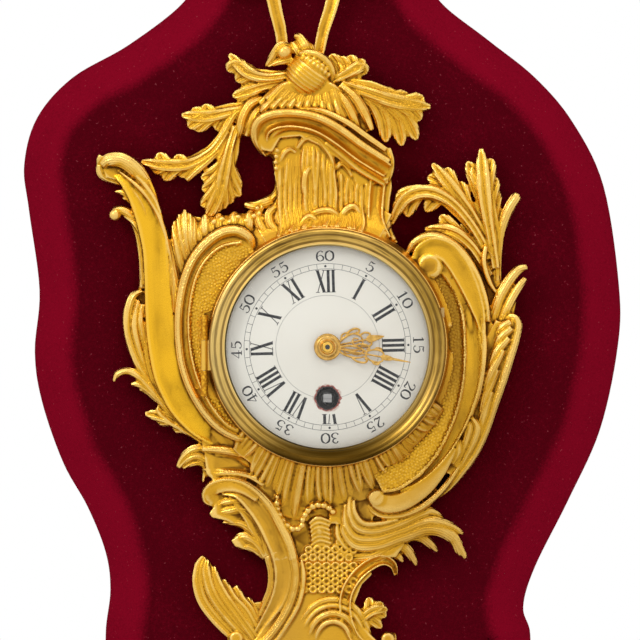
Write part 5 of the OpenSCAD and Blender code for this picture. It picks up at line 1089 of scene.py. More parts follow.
for s in (-1, 1):
    bow.ridge([(301 + s * 17, 56, 6.6), (302 + s * 21.5, 30, 7.2), (303 + s * 28, 6, 7.6)]
              + one_side(s, [(32, -20, 7.4), (22, -52, 8), (4, -67, 9)]), [2.4, 2.7, 3, 3.2, 2.9, 1.8], 1.4,
              RIBBON, 1.4, rings=30)
    bow.ridge(one_side(s, [(4, -68, 9), (32, -92, 10.4), (60, -98, 10), (70, -84, 9), (62, -72, 8)]),
              [1.8, 2.8, 3.4, 3, 2.4], 1.6, RIBBON, 1.4, rings=30)
    bow.ridge(one_side(s, [(64, -74, 8), (46, -66, 7.6), (26, -62, 7.6), (5, -62, 8.4)]),
              [2.4, 2.8, 2.6, 1.6], 1.4, RIBBON, 1.4, rings=24)
    bow.ridge(one_side(s, [(5, -60, 8), (34, -42, 7.6), (50, -20, 7), (74, -8, 5)]), [1.8, 2.8, 3.2, 2.2],
              1.4, RIBBON, 1.2, rings=26)
    for k in (0, 1):
        bow.ridge(one_side(s, [(6 + 4 * k, -64, 10), (20 + 6 * k, -74 - 5 * k, 10.6),
                               (36 + 4 * k, -84 - 6 * k, 10.8)]), [0.4, 0.8, 0.3], 0.7, rings=14)
for k in range(4):
    bow.ridge([(294 + k * 1.0, -74 + k * 5.5, 10), (304, -77 + k * 5.8, 11.8),
               (313 - k * 0.6, -73 + k * 5.5, 10)], [0.9, 1.5, 0.9], 1.4, back=4, rings=14)
bow_gilt = bow.pour("bow_gilt", 0.5)
mark_recesses(bow_gilt)
bow_gilt.data.materials.append(gilt.material)
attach(bow_gilt, "case")
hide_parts("ribbon_bow")

# Gilt apron: the foot of the case, two scrolls round a scaled panel that end in a pendant leaf.
# The lowest bronze casting, butted to the case below its bead string.
apron = Casting()
apron.plate([(272, 562), (352, 562), (370, 562), (372, 575), (362, 585), (354, 605), (360, 625), (384, 648),
             (362, 668), (336, 690), (320, 706), (304, 690), (280, 668), (246, 650), (262, 632), (272, 612),
             (276, 590)], 9.8)
apron.ridge([(291, 551, 13.8), (292.5, 556, 13.6), (295.5, 572, 13), (294.5, 588, 12.6), (289, 606, 12),
             (279, 624, 11.6), (264, 642, 11), (246, 650, 10), (232, 645, 9), (230, 633, 8.4)],
            [1.9, 2, 2, 2, 2, 2, 1.9, 1.7, 1], 1.7, rings=44)
apron.ridge([(301.5, 560, 12.4), (303.5, 575, 12.4), (302, 592, 12), (297, 608, 11.6), (288, 624, 11.2),
             (274, 644, 10.4), (254, 658, 9.4)], [0.5, 1.1, 1.1, 1.1, 1.1, 1.1, 0.5], 1.2, rings=36)
apron.ridge([(279, 551, 12.8), (280, 556, 12.7), (283, 573, 12.3), (281.5, 589, 11.8), (276, 604, 11.2),
             (266, 620, 10.4), (255, 636, 9.2)], [3.5, 3.5, 3.6, 3.5, 3.1, 2.2, 0.8], [1.1, 1.1, 1.0, 0.6],
            HOLLOW, rings=34)
apron.ridge([(268, 556, 10.8), (272, 573, 10.6), (271, 589, 10.2), (266, 602, 9.6), (259, 617, 8.6)],
            [1.9, 2, 2, 1.8, 0.7], 1.4, back=3, rings=26)
apron.disc(236, 639, 3, 10)
apron.plate([(250, 604), (272, 600), (268, 634), (252, 636)], 7.8)
apron.ridge([(396, 576, 8.6), (393.5, 566, 9.6), (384, 560.5, 10.6), (372, 564, 11.6), (359, 574, 12),
             (349, 588, 12), (345, 604, 11.8), (348, 624, 11.2), (358, 642, 10.6), (376, 652, 9.6),
             (392, 646, 8.8), (394, 634, 8.2)], [0.7, 1.6, 2.3, 2.6, 2.7, 2.7, 2.6, 2.4, 2.2, 2, 1.6, 0.9],
            [1.4, 1.8, 2.2, 2.2, 2.2, 2, 1.6], HOLLOW, rings=56)
apron.disc(388, 640, 3, 9.8)
for x, y in scale_places(566, 640, 356):
    if math.hypot(x - 334, y - 640) > 49.5:
        apron.scale(x, y, 10.9, SCALE_WIDE)
ARC_TURNS = [math.radians(a) for a in range(200, -21, -20)]
for r, fat in ((42, 1.5), (36, 1.1), (28, 1.6), (20, 1.2)):
    apron.ridge([(333 + r * math.cos(a) * 0.86, 642 - r * math.sin(a),
                  9.4 + 2.2 * math.sin(a) - (r - 30) * 0.05) for a in ARC_TURNS],
                [fat * 0.6, fat, fat, fat * 0.6], 1.3, rings=34)
apron.plate([(262, 650), (240, 642), (222, 628), (208, 612), (198, 592), (197, 576), (200, 563), (204, 559),
             (210, 563), (215, 572), (220, 582), (223, 592), (229, 593), (234, 588), (239, 600), (244, 602),
             (248, 612), (258, 634)], 6.8)
for way, fat in (([(256, 650, 8.4), (228, 632, 8.8), (205, 606, 9), (197.5, 584, 8.8), (199.5, 565, 8.2),
                   (204, 557, 7)], 2.1),
                 ([(258, 648, 8.8), (234, 624, 9.4), (214, 598, 9.6), (206, 574, 9), (207, 560, 7.6)], 1.9),
                 ([(260, 646, 9), (240, 618, 9.6), (224, 596, 9.4), (215, 578, 8.6), (213.5, 567, 7.4)],
                  1.9),
                 ([(262, 644, 8.8), (246, 614, 9.4), (232, 598, 9), (223, 580, 7.4)], 1.9),
                 ([(263, 642, 8.6), (250, 612, 9), (241, 600, 8.6), (235, 586.5, 7.2)], 1.8),
                 ([(264, 640, 8.4), (254, 614, 8.6), (247, 598, 7.4)], 1.7),
                 ([(266, 640, 8), (258, 622, 8.2), (250.5, 607, 7.2)], 1.5)):
    apron.ridge(way, [fat * 1.05, fat * 1.1, fat * 1.15, fat * 1.1, fat, fat * 0.4], 0.8, LOBE, rings=28)
apron.leaf([(352, 634, 8), (362, 620, 9.6), (374, 611, 9.6), (388, 610, 7.4)],
           [(0.4, 368, 598, 8), (0.6, 382, 602.5, 7.8), (0.5, 386, 618, 7.6), (0.25, 382, 629, 7.8)], 1.6,
           blade=2.6)
apron.leaf([(320, 654, 9), (320, 682, 10), (318, 708, 9.4), (320, 736, 7)],
           [(0.15, 296, 682, 7.6), (0.3, 298, 700, 7.8), (0.45, 304, 718, 7.8), (0.15, 344, 682, 7.6),
            (0.3, 342, 700, 7.8), (0.45, 336, 718, 7.8)], 1.9, blade=3.6)
for s in (-1, 1):
    apron.ridge([(320, 650, 9.4), (320 + s * 26, 664, 9.8), (320 + s * 46, 682, 8.8),
                 (320 + s * 60, 678, 7)], [2.4, 2.3, 1.9, 0.5], 1.7, back=2.4, rings=24)
apron_gilt = apron.pour("apron_gilt")
mark_recesses(apron_gilt)
apron_gilt.data.materials.append(gilt.material)
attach(apron_gilt, "case")
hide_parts("apron_casting")

# Fixings of the castings: seven steel studs, screwed into the bronze and passed through the board.
# Their washers and nuts lie in pockets on its back.
dress(steel, "fixing_studs", "stud_washers", "stud_nuts")

# Bezel door: a cast and turned brass ring with a hollow front, dulled to olive, with painted light and
# shade on it.
# It swings on a three-knuckle hinge whose fixed leaf is screwed to the case and matted like its ground.
SIGHT_LINE = 43.0
LIP = 43.7
TURNED_LINES = ((44.3, 44.9, 0.75), (46.9, 47.4, 0.6), (49.1, 49.6, 0.6))
LINE_FADE = 0.35
BEZEL_EDGE = 50.0
TO_MM = 1000
olive = Finish("bezel_brass", Metallic=1.0)
olive_cloud = olive.noise(38, 5.0)
from_axis = olive.place(scale=(1, 0, 1), shift=(0, 0, DIAL_DROP * MM))
ring = olive.add("ShaderNodeVectorMath", {"operation": "LENGTH"}, {0: from_axis}, 1) * TO_MM
right, up = [olive.add("ShaderNodeSeparateXYZ", {}, {0: from_axis}, axis) for axis in (0, 2)]
round_it = up.maths("ARCTAN2", right).maths("ABSOLUTE", 0)
streak = olive.noise(1.0, 3.0, olive.add("ShaderNodeCombineXYZ", {}, {0: ring * 1.5, 1: round_it * 3.2}),
                     0.6)
patina_and_painted_light = olive.mix(olive.span(olive_cloud * 0.6 + streak * 0.4, 0.34, 0.66), (0.88, 0.56, 0.14),
                   (0.44, 0.26, 0.04))
patina_and_painted_light = olive.mix(olive.span(streak, 0.52, 0.7), patina_and_painted_light, (0.16, 0.085, 0.02))
# painted highlight on the inner lip
patina_and_painted_light = olive.mix(olive.span(ring, LIP + 0.6, LIP), patina_and_painted_light, (0.85, 0.6, 0.2))
# painted shade: the lower right of the ring is darker
patina_and_painted_light = olive.mix(olive.span((right - up) * TO_MM, -20, 60) * 0.5, patina_and_painted_light, (0.22, 0.115, 0.014))
# painted highlight: the left side of the ring is lighter
patina_and_painted_light = olive.mix(olive.span(right * TO_MM, -30, -50) * 0.5, patina_and_painted_light, (0.86, 0.64, 0.24))
# turned grooves darkened: patina and painted shade
for low, high, depth in TURNED_LINES:
    groove = olive.span(ring, low - LINE_FADE, low) * olive.span(ring, high + LINE_FADE, high)
    patina_and_painted_light = olive.mix(groove * depth, patina_and_painted_light, (0.12, 0.06, 0.015))
# painted shade: the bottom of the ring is darkened, almost to black at its foot
patina_and_painted_light = olive.mix(olive.span(up * TO_MM, -16, -38) * 0.4, patina_and_painted_light, (0.3, 0.16, 0.012))
patina_and_painted_light = olive.mix(olive.span(up * TO_MM, -32, -46) * 0.93, patina_and_painted_light, (0.045, 0.02, 0.001))
# painted shadow: a dark line at the sight edge by the glass, stronger on the left
lip_side = olive.span(right * TO_MM, 15, -25)
lip_shadow = olive.span(ring, SIGHT_LINE + 0.3, SIGHT_LINE) * (0.35 + 0.55 * lip_side)
patina_and_painted_light = olive.mix(lip_shadow, patina_and_painted_light, (0.02, 0.012, 0.006))
patina_and_painted_light = olive.mix(olive.span(ring, BEZEL_EDGE, BEZEL_EDGE + 0.3) * 0.85, patina_and_painted_light, (0.8, 0.46, 0.06))
olive.feed("Base Color", patina_and_painted_light)
olive.feed("Roughness", 0.24 + olive_cloud * 0.22)
olive.bump(streak, 0.12, 0.0002)
dress(olive, "bezel")
matted = Finish("matted_gilt", Metallic=1.0)
grains = matted.add("ShaderNodeTexVoronoi", {}, {"Vector": matted.place(), "Scale": 800})
# painted shade in the low edges of the matting grains
matted.feed("Base Color", matted.mix(matted.span(grains, 0.2, 0.75), (0.86, 0.46, 0.035),
                                     (0.5, 0.22, 0.015)))
matted.feed("Roughness", 0.4 + grains * 0.2)
matted.bump(1 - grains, 0.45, 0.0003)
dress(matted, "hinge_leaf", "hinge_screws")
dress(steel, "hinge_pin")
dress(brass, "glass_ring", "bezel_catch")

# Glass: a thin domed crystal, held behind the bezel's lip by a brass ring.
# It is clear, with a faint smear in its shine.
crystal = Finish("crystal", Roughness=0.03)
clear = crystal.add("ShaderNodeBsdfTransparent")
gloss = crystal.add("ShaderNodeBsdfGlossy", {}, {"Roughness": 0.03})
edge_on = crystal.add("ShaderNodeFresnel", {}, {"IOR": 1.45})
smear = crystal.noise(30, 2.0)
pane = crystal.add("ShaderNodeMixShader", {}, {0: edge_on * (0.25 + smear * 0.15), 1: clear, 2: gloss})
crystal.tree.links.new(pane.socket, crystal.tree.nodes["Material Output"].inputs["Surface"])
dress(crystal, "bezel_glass")

# Dial: convex white enamel on copper, with its figures fired on in black.
# The winding hole is chipped, and the copper shows red round it.
enamel = Finish("enamel", Roughness=0.16, Coat_Weight=0.3)
milk = enamel.noise(25, 3.0)
HOLE_DROP = 21.4
from_hole = enamel.place(scale=(1, 0, 1), shift=(0, 0, (DIAL_DROP + HOLE_DROP) * MM))
reach = enamel.add("ShaderNodeVectorMath", {"operation": "LENGTH"}, {0: from_hole}, 1)
ragged = reach + (enamel.noise(700, 3.0) - 0.5) * 0.0026
broken = reach + (enamel.noise(420, 2.0, enamel.place(shift=(0.3, 0.1, 0.2))) - 0.5) * 0.0034
white = enamel.mix(enamel.span(milk, 0.3, 0.8), (0.86, 0.835, 0.745), (0.8, 0.765, 0.67))
white = enamel.mix(enamel.span(broken, 0.0062, 0.0054), white, (0.62, 0.5, 0.42))
white = enamel.mix(enamel.span(ragged, 0.0057, 0.0054), white, (0.33, 0.07, 0.05))
# painted shade: the enamel next to the winding hole and its wall are near black
white = enamel.mix(enamel.span(ragged, 0.0051, 0.0049), white, (0.05, 0.03, 0.025))
enamel.feed("Base Color", white)
dress(enamel, "dial")
INK_LIFT = 0.03
INK_THICK = 0.04
MINUTE_IN = 32.8
MINUTE_OUT = 35
CHAPTER_IN = 21.7
HAIR = 0.16
STEM = 1.2
THIN_STEM = 0.32
SERIF = 0.26
SLANT = 1.35
DIAL_FACE = 45.8
DIAL_RISE = 1.5
DIAL_WIDE = 43.4
DIAL_TURN = -1.5
ROMAN_FOOT = 23
SHORT_FOOT = 28.2
ROMAN_TALL = 9.2
FIGURE_FOOT = 36.0
FIGURE_TALL = 4.5
FIGURE_BROAD = 1.3


class Print:
    """Flat strokes of fired black on the dome of the dial."""

    def __init__(self):
        self.points = []
        self.faces = []

    def put(self, across, out, turn):
        a = math.radians(turn)
        x = math.sin(a) * out + math.cos(a) * across
        y = math.cos(a) * out - math.sin(a) * across
        self.points.append((x, y, DIAL_FACE + DIAL_RISE * (1 - (x * x + y * y) / DIAL_WIDE ** 2)
                            + INK_LIFT))

    def pen(self, marks, wide, turn, steps=9, smooth=True):
        """A stroke of varying width through marks (across, out) at one place of the clock."""
        if smooth:
            line = smooth_line(marks, steps)
        else:
            first, last = np.array(marks, float)
            line = np.array([first * (1 - t) + last * t for t in np.linspace(0, 1, steps)])
        run = np.gradient(line, axis=0)
        run /= np.linalg.norm(run, axis=1)[:, None]
        start = len(self.points)
        for (x, y), (dx, dy), w in zip(line, run, spread(wide, steps)):
            self.put(x - dy * w / 2, y + dx * w / 2, turn)
            self.put(x + dy * w / 2, y - dx * w / 2, turn)
        self.faces += [(start + 2 * k, start + 2 * k + 1, start + 2 * k + 3, start + 2 * k + 2)
                       for k in range(steps - 1)]

    def circle(self, radius, wide, steps=180):
        start = len(self.points)
        for k in range(steps):
            self.put(0, radius - wide / 2, 360 * k / steps)
            self.put(0, radius + wide / 2, 360 * k / steps)
        self.faces += [(start + 2 * k, start + 2 * k + 1, start + (2 * k + 3) % (2 * steps),
                        start + (2 * k + 2) % (2 * steps)) for k in range(steps)]

    def dot(self, out, turn, radius):
        start = len(self.points)
        for k in range(12):
            self.put(radius * math.cos(math.tau * k / 12), out + radius * math.sin(math.tau * k / 12), turn)
        self.faces.append(tuple(range(start, start + 12)))


figures = Print()
figures.circle(MINUTE_OUT, HAIR)
figures.circle(MINUTE_IN, HAIR)
figures.circle(CHAPTER_IN, 0.1)
for minute in range(60):
    if minute % 5:
        figures.pen([(0, MINUTE_IN), (0, MINUTE_OUT)], HAIR, minute * 6 + DIAL_TURN, 3, False)
    else:
        figures.dot((MINUTE_IN + MINUTE_OUT) / 2, minute * 6 + DIAL_TURN, 0.5)
ROMAN = ["XII", "I", "II", "III", "IIII", "V", "VI", "VII", "VIII", "IX", "X", "XI"]
ROMAN_WIDE = {"I": 2.1, "V": 4.0, "X": 4.2}
for hour, letters in enumerate(ROMAN):
    turn = hour * 30 + DIAL_TURN
    foot = SHORT_FOOT if hour == 6 else ROMAN_FOOT
    top = ROMAN_FOOT + ROMAN_TALL
    at = -sum(ROMAN_WIDE[letter] for letter in letters) / 2
    for letter in letters:
        wide = ROMAN_WIDE[letter]
        mid = at + wide / 2
        at += wide
        if letter == "I":
            figures.pen([(mid, foot), (mid, top)], STEM, turn, 5, False)
            for y in (foot, top):
                figures.pen([(mid - 1.0, y), (mid + 1.0, y)], SERIF, turn, 3, False)
            continue
        low = mid if letter == "V" else mid + SLANT
        low_thin = mid + 0.35 if letter == "V" else mid - SLANT
        share = (foot - ROMAN_FOOT) / ROMAN_TALL
        figures.pen([(low + (mid - SLANT - low) * share, foot), (mid - SLANT, top)], STEM, turn, 5, False)
        figures.pen([(low_thin + (mid + SLANT - low_thin) * share, foot), (mid + SLANT, top)], THIN_STEM,
                    turn, 5, False)
        for x in (mid - SLANT, mid + SLANT):
            figures.pen([(x - 0.8, top), (x + 0.8, top)], SERIF, turn, 3, False)
            if letter == "X":
                figures.pen([(x - 0.8, foot), (x + 0.8, foot)], SERIF, turn, 3, False)
DIGITS = {"0": [([(0.31, 0.98), (0.06, 0.75), (0.06, 0.25), (0.31, 0.02)], (0.05, 0.16, 0.17, 0.16, 0.05)),
                ([(0.31, 0.02), (0.56, 0.25), (0.56, 0.75), (0.31, 0.98)], (0.05, 0.16, 0.17, 0.16, 0.05))],
          "1": [([(0.16, 0.82), (0.28, 0.9), (0.33, 0.98)], 0.06),
                ([(0.33, 0.98), (0.33, 0.5), (0.33, 0.02)], 0.16),
                ([(0.14, 0.02), (0.33, 0.02), (0.52, 0.02)], 0.06)],
          "2": [([(0.1, 0.74), (0.16, 0.92), (0.32, 0.97), (0.5, 0.86), (0.5, 0.66), (0.32, 0.38),
                  (0.08, 0.05)], (0.16, 0.08, 0.06, 0.14, 0.16, 0.1, 0.05)),
                ([(0.08, 0.06), (0.3, 0.1), (0.5, 0.03), (0.58, 0.2)], (0.06, 0.14, 0.12, 0.04))],
          "3": [([(0.1, 0.8), (0.18, 0.95), (0.36, 0.95), (0.47, 0.78), (0.4, 0.6), (0.22, 0.53)],
                 (0.14, 0.07, 0.1, 0.16, 0.1, 0.05)),
                ([(0.22, 0.53), (0.46, 0.46), (0.54, 0.25), (0.4, 0.05), (0.2, 0.03), (0.08, 0.18)],
                 (0.05, 0.1, 0.17, 0.08, 0.06, 0.15))],
          "4": [([(0.42, 0.98), (0.24, 0.62), (0.04, 0.28)], 0.05),
                ([(0.04, 0.28), (0.3, 0.28), (0.6, 0.28)], 0.06),
                ([(0.42, 0.98), (0.42, 0.5), (0.42, 0.02)], 0.15),
                ([(0.26, 0.02), (0.42, 0.02), (0.58, 0.02)], 0.06)],
          "5": [([(0.52, 0.94), (0.34, 0.9), (0.16, 0.96)], (0.05, 0.13, 0.06)),
                ([(0.16, 0.96), (0.15, 0.75), (0.13, 0.53)], 0.06),
                ([(0.13, 0.53), (0.34, 0.61), (0.52, 0.45), (0.5, 0.2), (0.32, 0.03), (0.14, 0.06),
                  (0.08, 0.2)], (0.05, 0.08, 0.16, 0.16, 0.07, 0.06, 0.15))],
          "6": [([(0.5, 0.84), (0.4, 0.97), (0.22, 0.9), (0.1, 0.66), (0.08, 0.36), (0.16, 0.1),
                  (0.32, 0.02)], (0.14, 0.06, 0.08, 0.15, 0.17, 0.12, 0.05)),
                ([(0.32, 0.02), (0.52, 0.14), (0.54, 0.38), (0.34, 0.57), (0.12, 0.42)],
                 (0.05, 0.14, 0.16, 0.06, 0.05))]}
DIGIT_WIDE = 0.68
for minute in range(5, 61, 5):
    digits = str(minute)
    for k, digit in enumerate(digits):
        left = (k - len(digits) / 2) * DIGIT_WIDE
        for marks, wide in DIGITS[digit]:
            figures.pen([((left + x) * FIGURE_TALL * FIGURE_BROAD, FIGURE_FOOT + y * FIGURE_TALL)
                         for x, y in marks], np.array(wide) * FIGURE_TALL, minute * 6 + DIAL_TURN, 13)
dial_print = new_piece("dial_figures", hang(figures.points), figures.faces)
ink_thick = dial_print.modifiers.new("ink", "SOLIDIFY")
ink_thick.thickness = INK_THICK * MM
ink_thick.offset = 0
apply_all(dial_print)
ink = Finish("fired_black", Roughness=0.3)
ink_cloud = ink.noise(900, 3.0)
ink.feed("Base Color", ink.mix(ink.span(ink_cloud, 0.45, 0.8), (0.012, 0.012, 0.014), (0.1, 0.1, 0.1)))
dial_print.data.materials.append(ink.material)
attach(dial_print, "case")

# Hole shade: a near-black ring in the dial's winding hole, round the steel square.
# It is painted shade, a dark thing standing in for the shade inside the hole.
HOLE_RADIUS = 4.55
SHADE_RING_BORE = 2.7
SHADE_RING_LONG = 1.6
SHADE_RING_AT = (0, -45.3 * MM, -(DIAL_DROP + HOLE_DROP) * MM)
bpy.ops.object.select_all(action="DESELECT")
bpy.ops.mesh.primitive_cylinder_add(vertices=48, radius=HOLE_RADIUS * MM, depth=SHADE_RING_LONG * MM,
                                    end_fill_type="NGON", location=SHADE_RING_AT, rotation=(math.pi / 2, 0, 0))
shade_ring = bpy.context.active_object
shade_ring.name = "winding_hole_shade"
bpy.ops.object.transform_apply(location=True, rotation=True, scale=True)
bpy.ops.object.mode_set(mode="EDIT")
bpy.ops.mesh.select_mode(type="FACE")
bpy.ops.mesh.select_all(action="DESELECT")
bpy.ops.object.mode_set(mode="OBJECT")
for face in shade_ring.data.polygons:
    face.select = len(face.vertices) > 4
bpy.ops.object.mode_set(mode="EDIT")
bpy.ops.mesh.inset(thickness=(HOLE_RADIUS - SHADE_RING_BORE) * MM)
bpy.ops.mesh.bridge_edge_loops()
bpy.ops.mesh.select_all(action="SELECT")
bpy.ops.mesh.normals_make_consistent(inside=False)
bpy.ops.object.mode_set(mode="OBJECT")
# painted shade: near-black colour for the ring in the hole
hole_shade_finish = Finish("painted_hole_shade", Roughness=0.7)
shade_speckle = hole_shade_finish.noise(500, 3.0)
hole_shade_finish.feed("Base Color", hole_shade_finish.mix(shade_speckle, (0.004, 0.004, 0.004), (0.014, 0.011, 0.009)))
shade_ring.data.materials.append(hole_shade_finish.material)
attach(shade_ring, "case")

# Hands: gilt brass, pierced with a saw into paired scrolls, on domed bosses.
# The hour hand sits on its pipe, and the nut holds the minute hand on the cannon pinion.
HOUR_LEVEL = 48.0 - FRONT
MINUTE_LEVEL = 49.4 - FRONT
HAND_THICK = 0.7
HAND_GRAIN = 0.13


def pierced(hand, level, clock_angle, strokes, tips):
    """Scroll wires and leaf tips drawn along the hand and turned to its place at rest."""
    a = math.radians(90 - clock_angle)
    for marks, half in strokes:
        for s in (-1, 1) if any(y for x, y in marks) else (1,):
            turned = [(x * math.cos(a) - s * y * math.sin(a), x * math.sin(a) + s * y * math.cos(a),
                       level + HAND_THICK) for x, y in marks]
            hand.strand(turned, np.array(half) * 0.86, 0.3, ROUND, 0.4, 26)
    for marks, half in tips:
        turned = [(x * math.cos(a), x * math.sin(a), level + HAND_THICK) for x in marks]
        hand.strand(turned, half, 0.3, FLAT, 0.4, 20)


hour = Casting()
hour.turned([(3.6, HOUR_LEVEL), (5.6, HOUR_LEVEL), (5.7, HOUR_LEVEL + 0.4), (5.3, HOUR_LEVEL + 0.7),
             (3.6, HOUR_LEVEL + 0.7)], 72)
HOUR_AT = 79.2
HOUR_STROKES = [([(5, 1.0), (8, 2.7), (11.5, 3.5), (14.2, 2.3), (15, 0.5)], [0.7, 0.6, 0.5, 0.4]),
                ([(8.4, 2.6), (10, 4.6), (12.6, 5.4), (14.4, 4.6), (13.8, 3.5), (12.8, 3.9)],
                 [0.6, 0.6, 0.55, 0.5]),
                ([(6.2, 2.2), (7, 3.9), (8.8, 4.3), (9.2, 3.4)], 0.45),
                ([(14, 2.2), (16.4, 3.0), (18.4, 2.2), (18.2, 0.7)], [0.5, 0.55, 0.4]),
                ([(10.4, 0.0), (11.6, 1.5), (13.4, 0.9)], 0.4), ([(4.6, 0), (10, 0), (17, 0)], 0.5)]
HOUR_TIPS = [((16.6, 19.5, 24.2), [0.5, 1.7, 1.5, 0.9, 0.12])]
pierced(hour, HOUR_LEVEL, HOUR_AT, HOUR_STROKES, HOUR_TIPS)
hand_finish = Finish("hand_gilt", Metallic=1.0)
hand_cloud = hand_finish.noise(500, 3.0)
hand_finish.feed("Base Color", hand_finish.mix(hand_finish.span(hand_cloud, 0.3, 0.75), (0.82, 0.5, 0.13),
                                               (0.5, 0.26, 0.04)))
hand_finish.feed("Roughness", 0.22 + hand_cloud * 0.2)
hand_finish.bump(hand_cloud, 0.3, 0.0002)
hour_gilt = hour.pour("hour_hand_gilt", HAND_GRAIN, level=False)
hour_gilt.data.materials.append(hand_finish.material)
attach(hour_gilt, "hour")
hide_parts("hour_hand")
minute = Casting()
minute.turned([(2.1, MINUTE_LEVEL), (5.4, MINUTE_LEVEL), (5.7, MINUTE_LEVEL + 0.35),
               (5.3, MINUTE_LEVEL + 0.7), (4.7, MINUTE_LEVEL + 0.5), (4.2, MINUTE_LEVEL + 0.75),
               (3.8, MINUTE_LEVEL + 1.15), (3.4, MINUTE_LEVEL + 1.28), (2.1, MINUTE_LEVEL + 1.28)], 72)
MINUTE_AT = 100.4
MINUTE_STROKES = [([(5, 0.9), (8.6, 2.1), (12.4, 2.3), (15.6, 1.3), (16.8, 0.3)], [0.65, 0.55, 0.45, 0.4]),
                  ([(10.6, 2.3), (13, 3.6), (16.2, 3.7), (17.4, 2.6), (16.2, 2.0)], [0.5, 0.55, 0.5, 0.45]),
                  ([(16.2, 1.0), (19, 2.3), (22, 2.5), (23.8, 1.3), (23, 0.4)], [0.45, 0.5, 0.4]),
                  ([(19.4, 2.4), (20.4, 3.4), (22.2, 3.4), (22.6, 2.6)], 0.4),
                  ([(4.6, 0), (15, 0), (28, 0)], 0.45)]
MINUTE_TIPS = [((23.4, 25.6, 28), [0.35, 1.3, 1.1, 0.4]), ((26.5, 31, 35.5), [0.6, 0.55, 0.4, 0.12])]
pierced(minute, MINUTE_LEVEL, MINUTE_AT, MINUTE_STROKES, MINUTE_TIPS)
minute_gilt = minute.pour("minute_hand_gilt", HAND_GRAIN, level=False)
minute_gilt.data.materials.append(hand_finish.material)
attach(minute_gilt, "minute")
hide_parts("minute_hand")
nut_gilt = Finish("nut_gilt", Metallic=1.0)
nut_place = nut_gilt.place(scale=(1, 0, 1), shift=(0, 0, DIAL_DROP * MM))
nut_ring = nut_gilt.add("ShaderNodeVectorMath", {"operation": "LENGTH"}, {0: nut_place}, 1) * TO_MM
nut_cloud = nut_gilt.noise(400, 3.0)
nut_tone = nut_gilt.mix(nut_cloud, (0.82, 0.45, 0.05), (0.95, 0.6, 0.12))
turned_line = nut_gilt.span(nut_ring, 1.9, 2.15) * nut_gilt.span(nut_ring, 2.6, 2.35)
nut_tone = nut_gilt.mix(turned_line * 0.75, nut_tone, (0.25, 0.1, 0.012))
nut_gilt.feed("Base Color", nut_gilt.mix(nut_gilt.span(nut_ring, 1.15, 0.9), nut_tone, (0.06, 0.06, 0.065)))
nut_gilt.feed("Roughness", 0.22 + nut_cloud * 0.16)
nut_gilt.bump(1 - turned_line, 0.5, 0.0003)
dress(nut_gilt, "hand_nut")

# Dial feet: copper pins fused to the back of the enamel plate.
# They pass through holes in the dial plate and keep the dial from turning.
copper = Finish("copper", Metallic=1.0)
copper_cloud = copper.noise(80, 3.0)
copper.feed("Base Color", copper.mix(copper_cloud, (0.7, 0.32, 0.18), (0.4, 0.17, 0.09)))
copper.feed("Roughness", 0.3 + copper_cloud * 0.25)
dress(copper, "dial_feet")

# Movement: a round spring-driven going train between brass plates, with steel arbors and screws.
# It sits in a brass dust drum behind the dial.
blue = Finish("blued_steel", Metallic=1.0)
blue_cloud = blue.noise(200, 2.0)
blue.feed("Base Color", blue.mix(blue_cloud, (0.03, 0.05, 0.16), (0.06, 0.08, 0.24)))
blue.feed("Roughness", 0.2 + blue_cloud * 0.15)
dress(brass, "dial_plate", "dial_posts", "front_plate", "back_plate", "plate_pillars", "movement_drum",
      "rear_cover", "barrel", "barrel_cap", "intermediate_wheel", "centre_wheel", "third_wheel",
      "fourth_wheel", "minute_wheel", "hour_wheel", "platform", "escape_bridge", "balance_wheel",
      "balance_cock")
dress(steel, "dial_plate_screws", "pillar_screws", "tie_rods", "mainspring", "winding_arbor",
      "ratchet_wheel", "click", "click_spring", "cannon_pinion", "minute_post", "escape_wheel",
      "pallet_lever")
dress(blue, "hairspring", "click_screw", "cock_screws")

# Stage: a pale floor below the hanging clock and a white surround.
# Four soft lamps light it, and the camera looks square at the dial.
FLOOR_LEVEL = -0.362
FLOOR_WIDE = 2.4
SURROUND_LIGHT = 0.62
LAMPS = [("key_lamp", (-0.95, -1.05, 0.7), 0.5, 6), ("fill_lamp", (1.2, -0.9, 0.1), 0.8, 2),
         ("top_lamp", (0.1, -0.6, 1.1), 0.6, 3), ("front_fill", (0.1, -2.2, 0.5), 1.2, 8)]
NOT_MIRRORED = ("front_fill", "fill_lamp")
LAMP_AIM = (0, -0.03, -0.16)
VIEW_STEPS = 640
VIEW_WIDE = VIEW_STEPS * STEP * MM
SENSOR = 36
CAMERA_BACK = 4.0
FOCUS_AT = -0.04
FAR = 50
bpy.ops.object.select_all(action="DESELECT")
bpy.ops.mesh.primitive_plane_add(size=FLOOR_WIDE, location=(0, 0, FLOOR_LEVEL))
floor = bpy.context.active_object
floor.name = "floor"
pale = Finish("pale_floor", Roughness=0.9)
pale_cloud = pale.noise(3, 2.0)
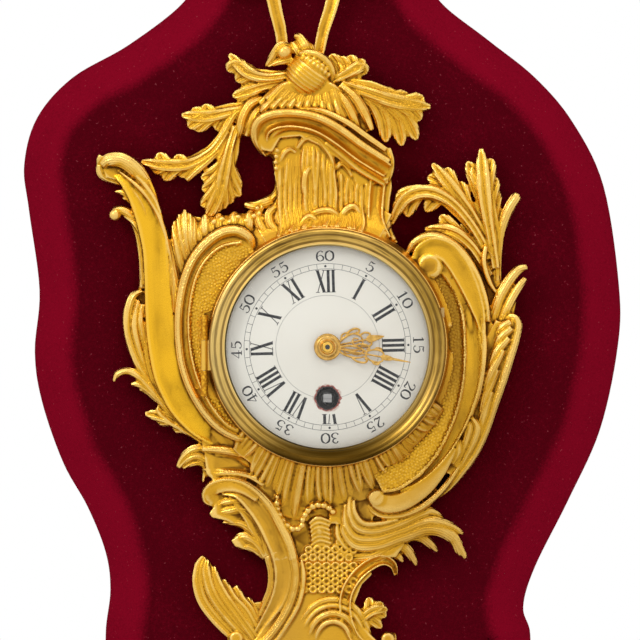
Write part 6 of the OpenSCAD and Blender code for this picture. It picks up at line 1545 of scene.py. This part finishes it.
pale.feed("Base Color", pale.mix(pale_cloud, (0.8, 0.8, 0.8), (0.84, 0.84, 0.84)))
floor.data.materials.append(pale.material)

world = bpy.data.worlds.new("surround")
bpy.context.scene.world = world
world.use_nodes = True
sky = world.node_tree
path = sky.nodes.new("ShaderNodeLightPath")


def larger(first, second):
    """The larger of two values in the surround's nodes."""
    node = sky.nodes.new("ShaderNodeMath")
    node.operation = "MAXIMUM"
    sky.links.new(first, node.inputs[0])
    sky.links.new(second, node.inputs[1])
    return node.outputs[0]


seen = larger(path.outputs["Is Camera Ray"], path.outputs["Is Transmission Ray"])
shown = larger(seen, path.outputs["Is Glossy Ray"])
level = sky.nodes.new("ShaderNodeMapRange")
sky.links.new(shown, level.inputs["Value"])
level.inputs["To Min"].default_value = SURROUND_LIGHT
level.inputs["To Max"].default_value = 1.0
sky.links.new(level.outputs[0], sky.nodes["Background"].inputs["Strength"])
sky.nodes["Background"].inputs["Color"].default_value = (1, 1, 1, 1)

for name, place, size, power in LAMPS:
    lamp = bpy.data.lights.new(name, "AREA")
    lamp.size = size
    lamp.energy = power
    shine = bpy.data.objects.new(name, lamp)
    shine.visible_glossy = name not in NOT_MIRRORED
    bpy.context.collection.objects.link(shine)
    shine.location = place
    aim = np.array(LAMP_AIM) - np.array(place)
    shine.rotation_euler = (math.atan2(math.hypot(aim[0], aim[1]), -aim[2]), 0, math.atan2(-aim[0], aim[1]))

view = bpy.data.cameras.new("camera")
view.sensor_width = SENSOR
view.lens = SENSOR * CAMERA_BACK / VIEW_WIDE
camera = bpy.data.objects.new("camera", view)
bpy.context.collection.objects.link(camera)
camera.location = ((VIEW_STEPS / 2 - DIAL_AT[0]) * STEP * MM, FOCUS_AT - CAMERA_BACK,
                   ((DIAL_AT[1] - VIEW_STEPS / 2) * STEP - DIAL_DROP) * MM)
camera.rotation_euler = (math.pi / 2, 0, 0)
view.clip_end = FAR
bpy.context.scene.camera = camera
bpy.context.scene.view_settings.view_transform = "Standard"
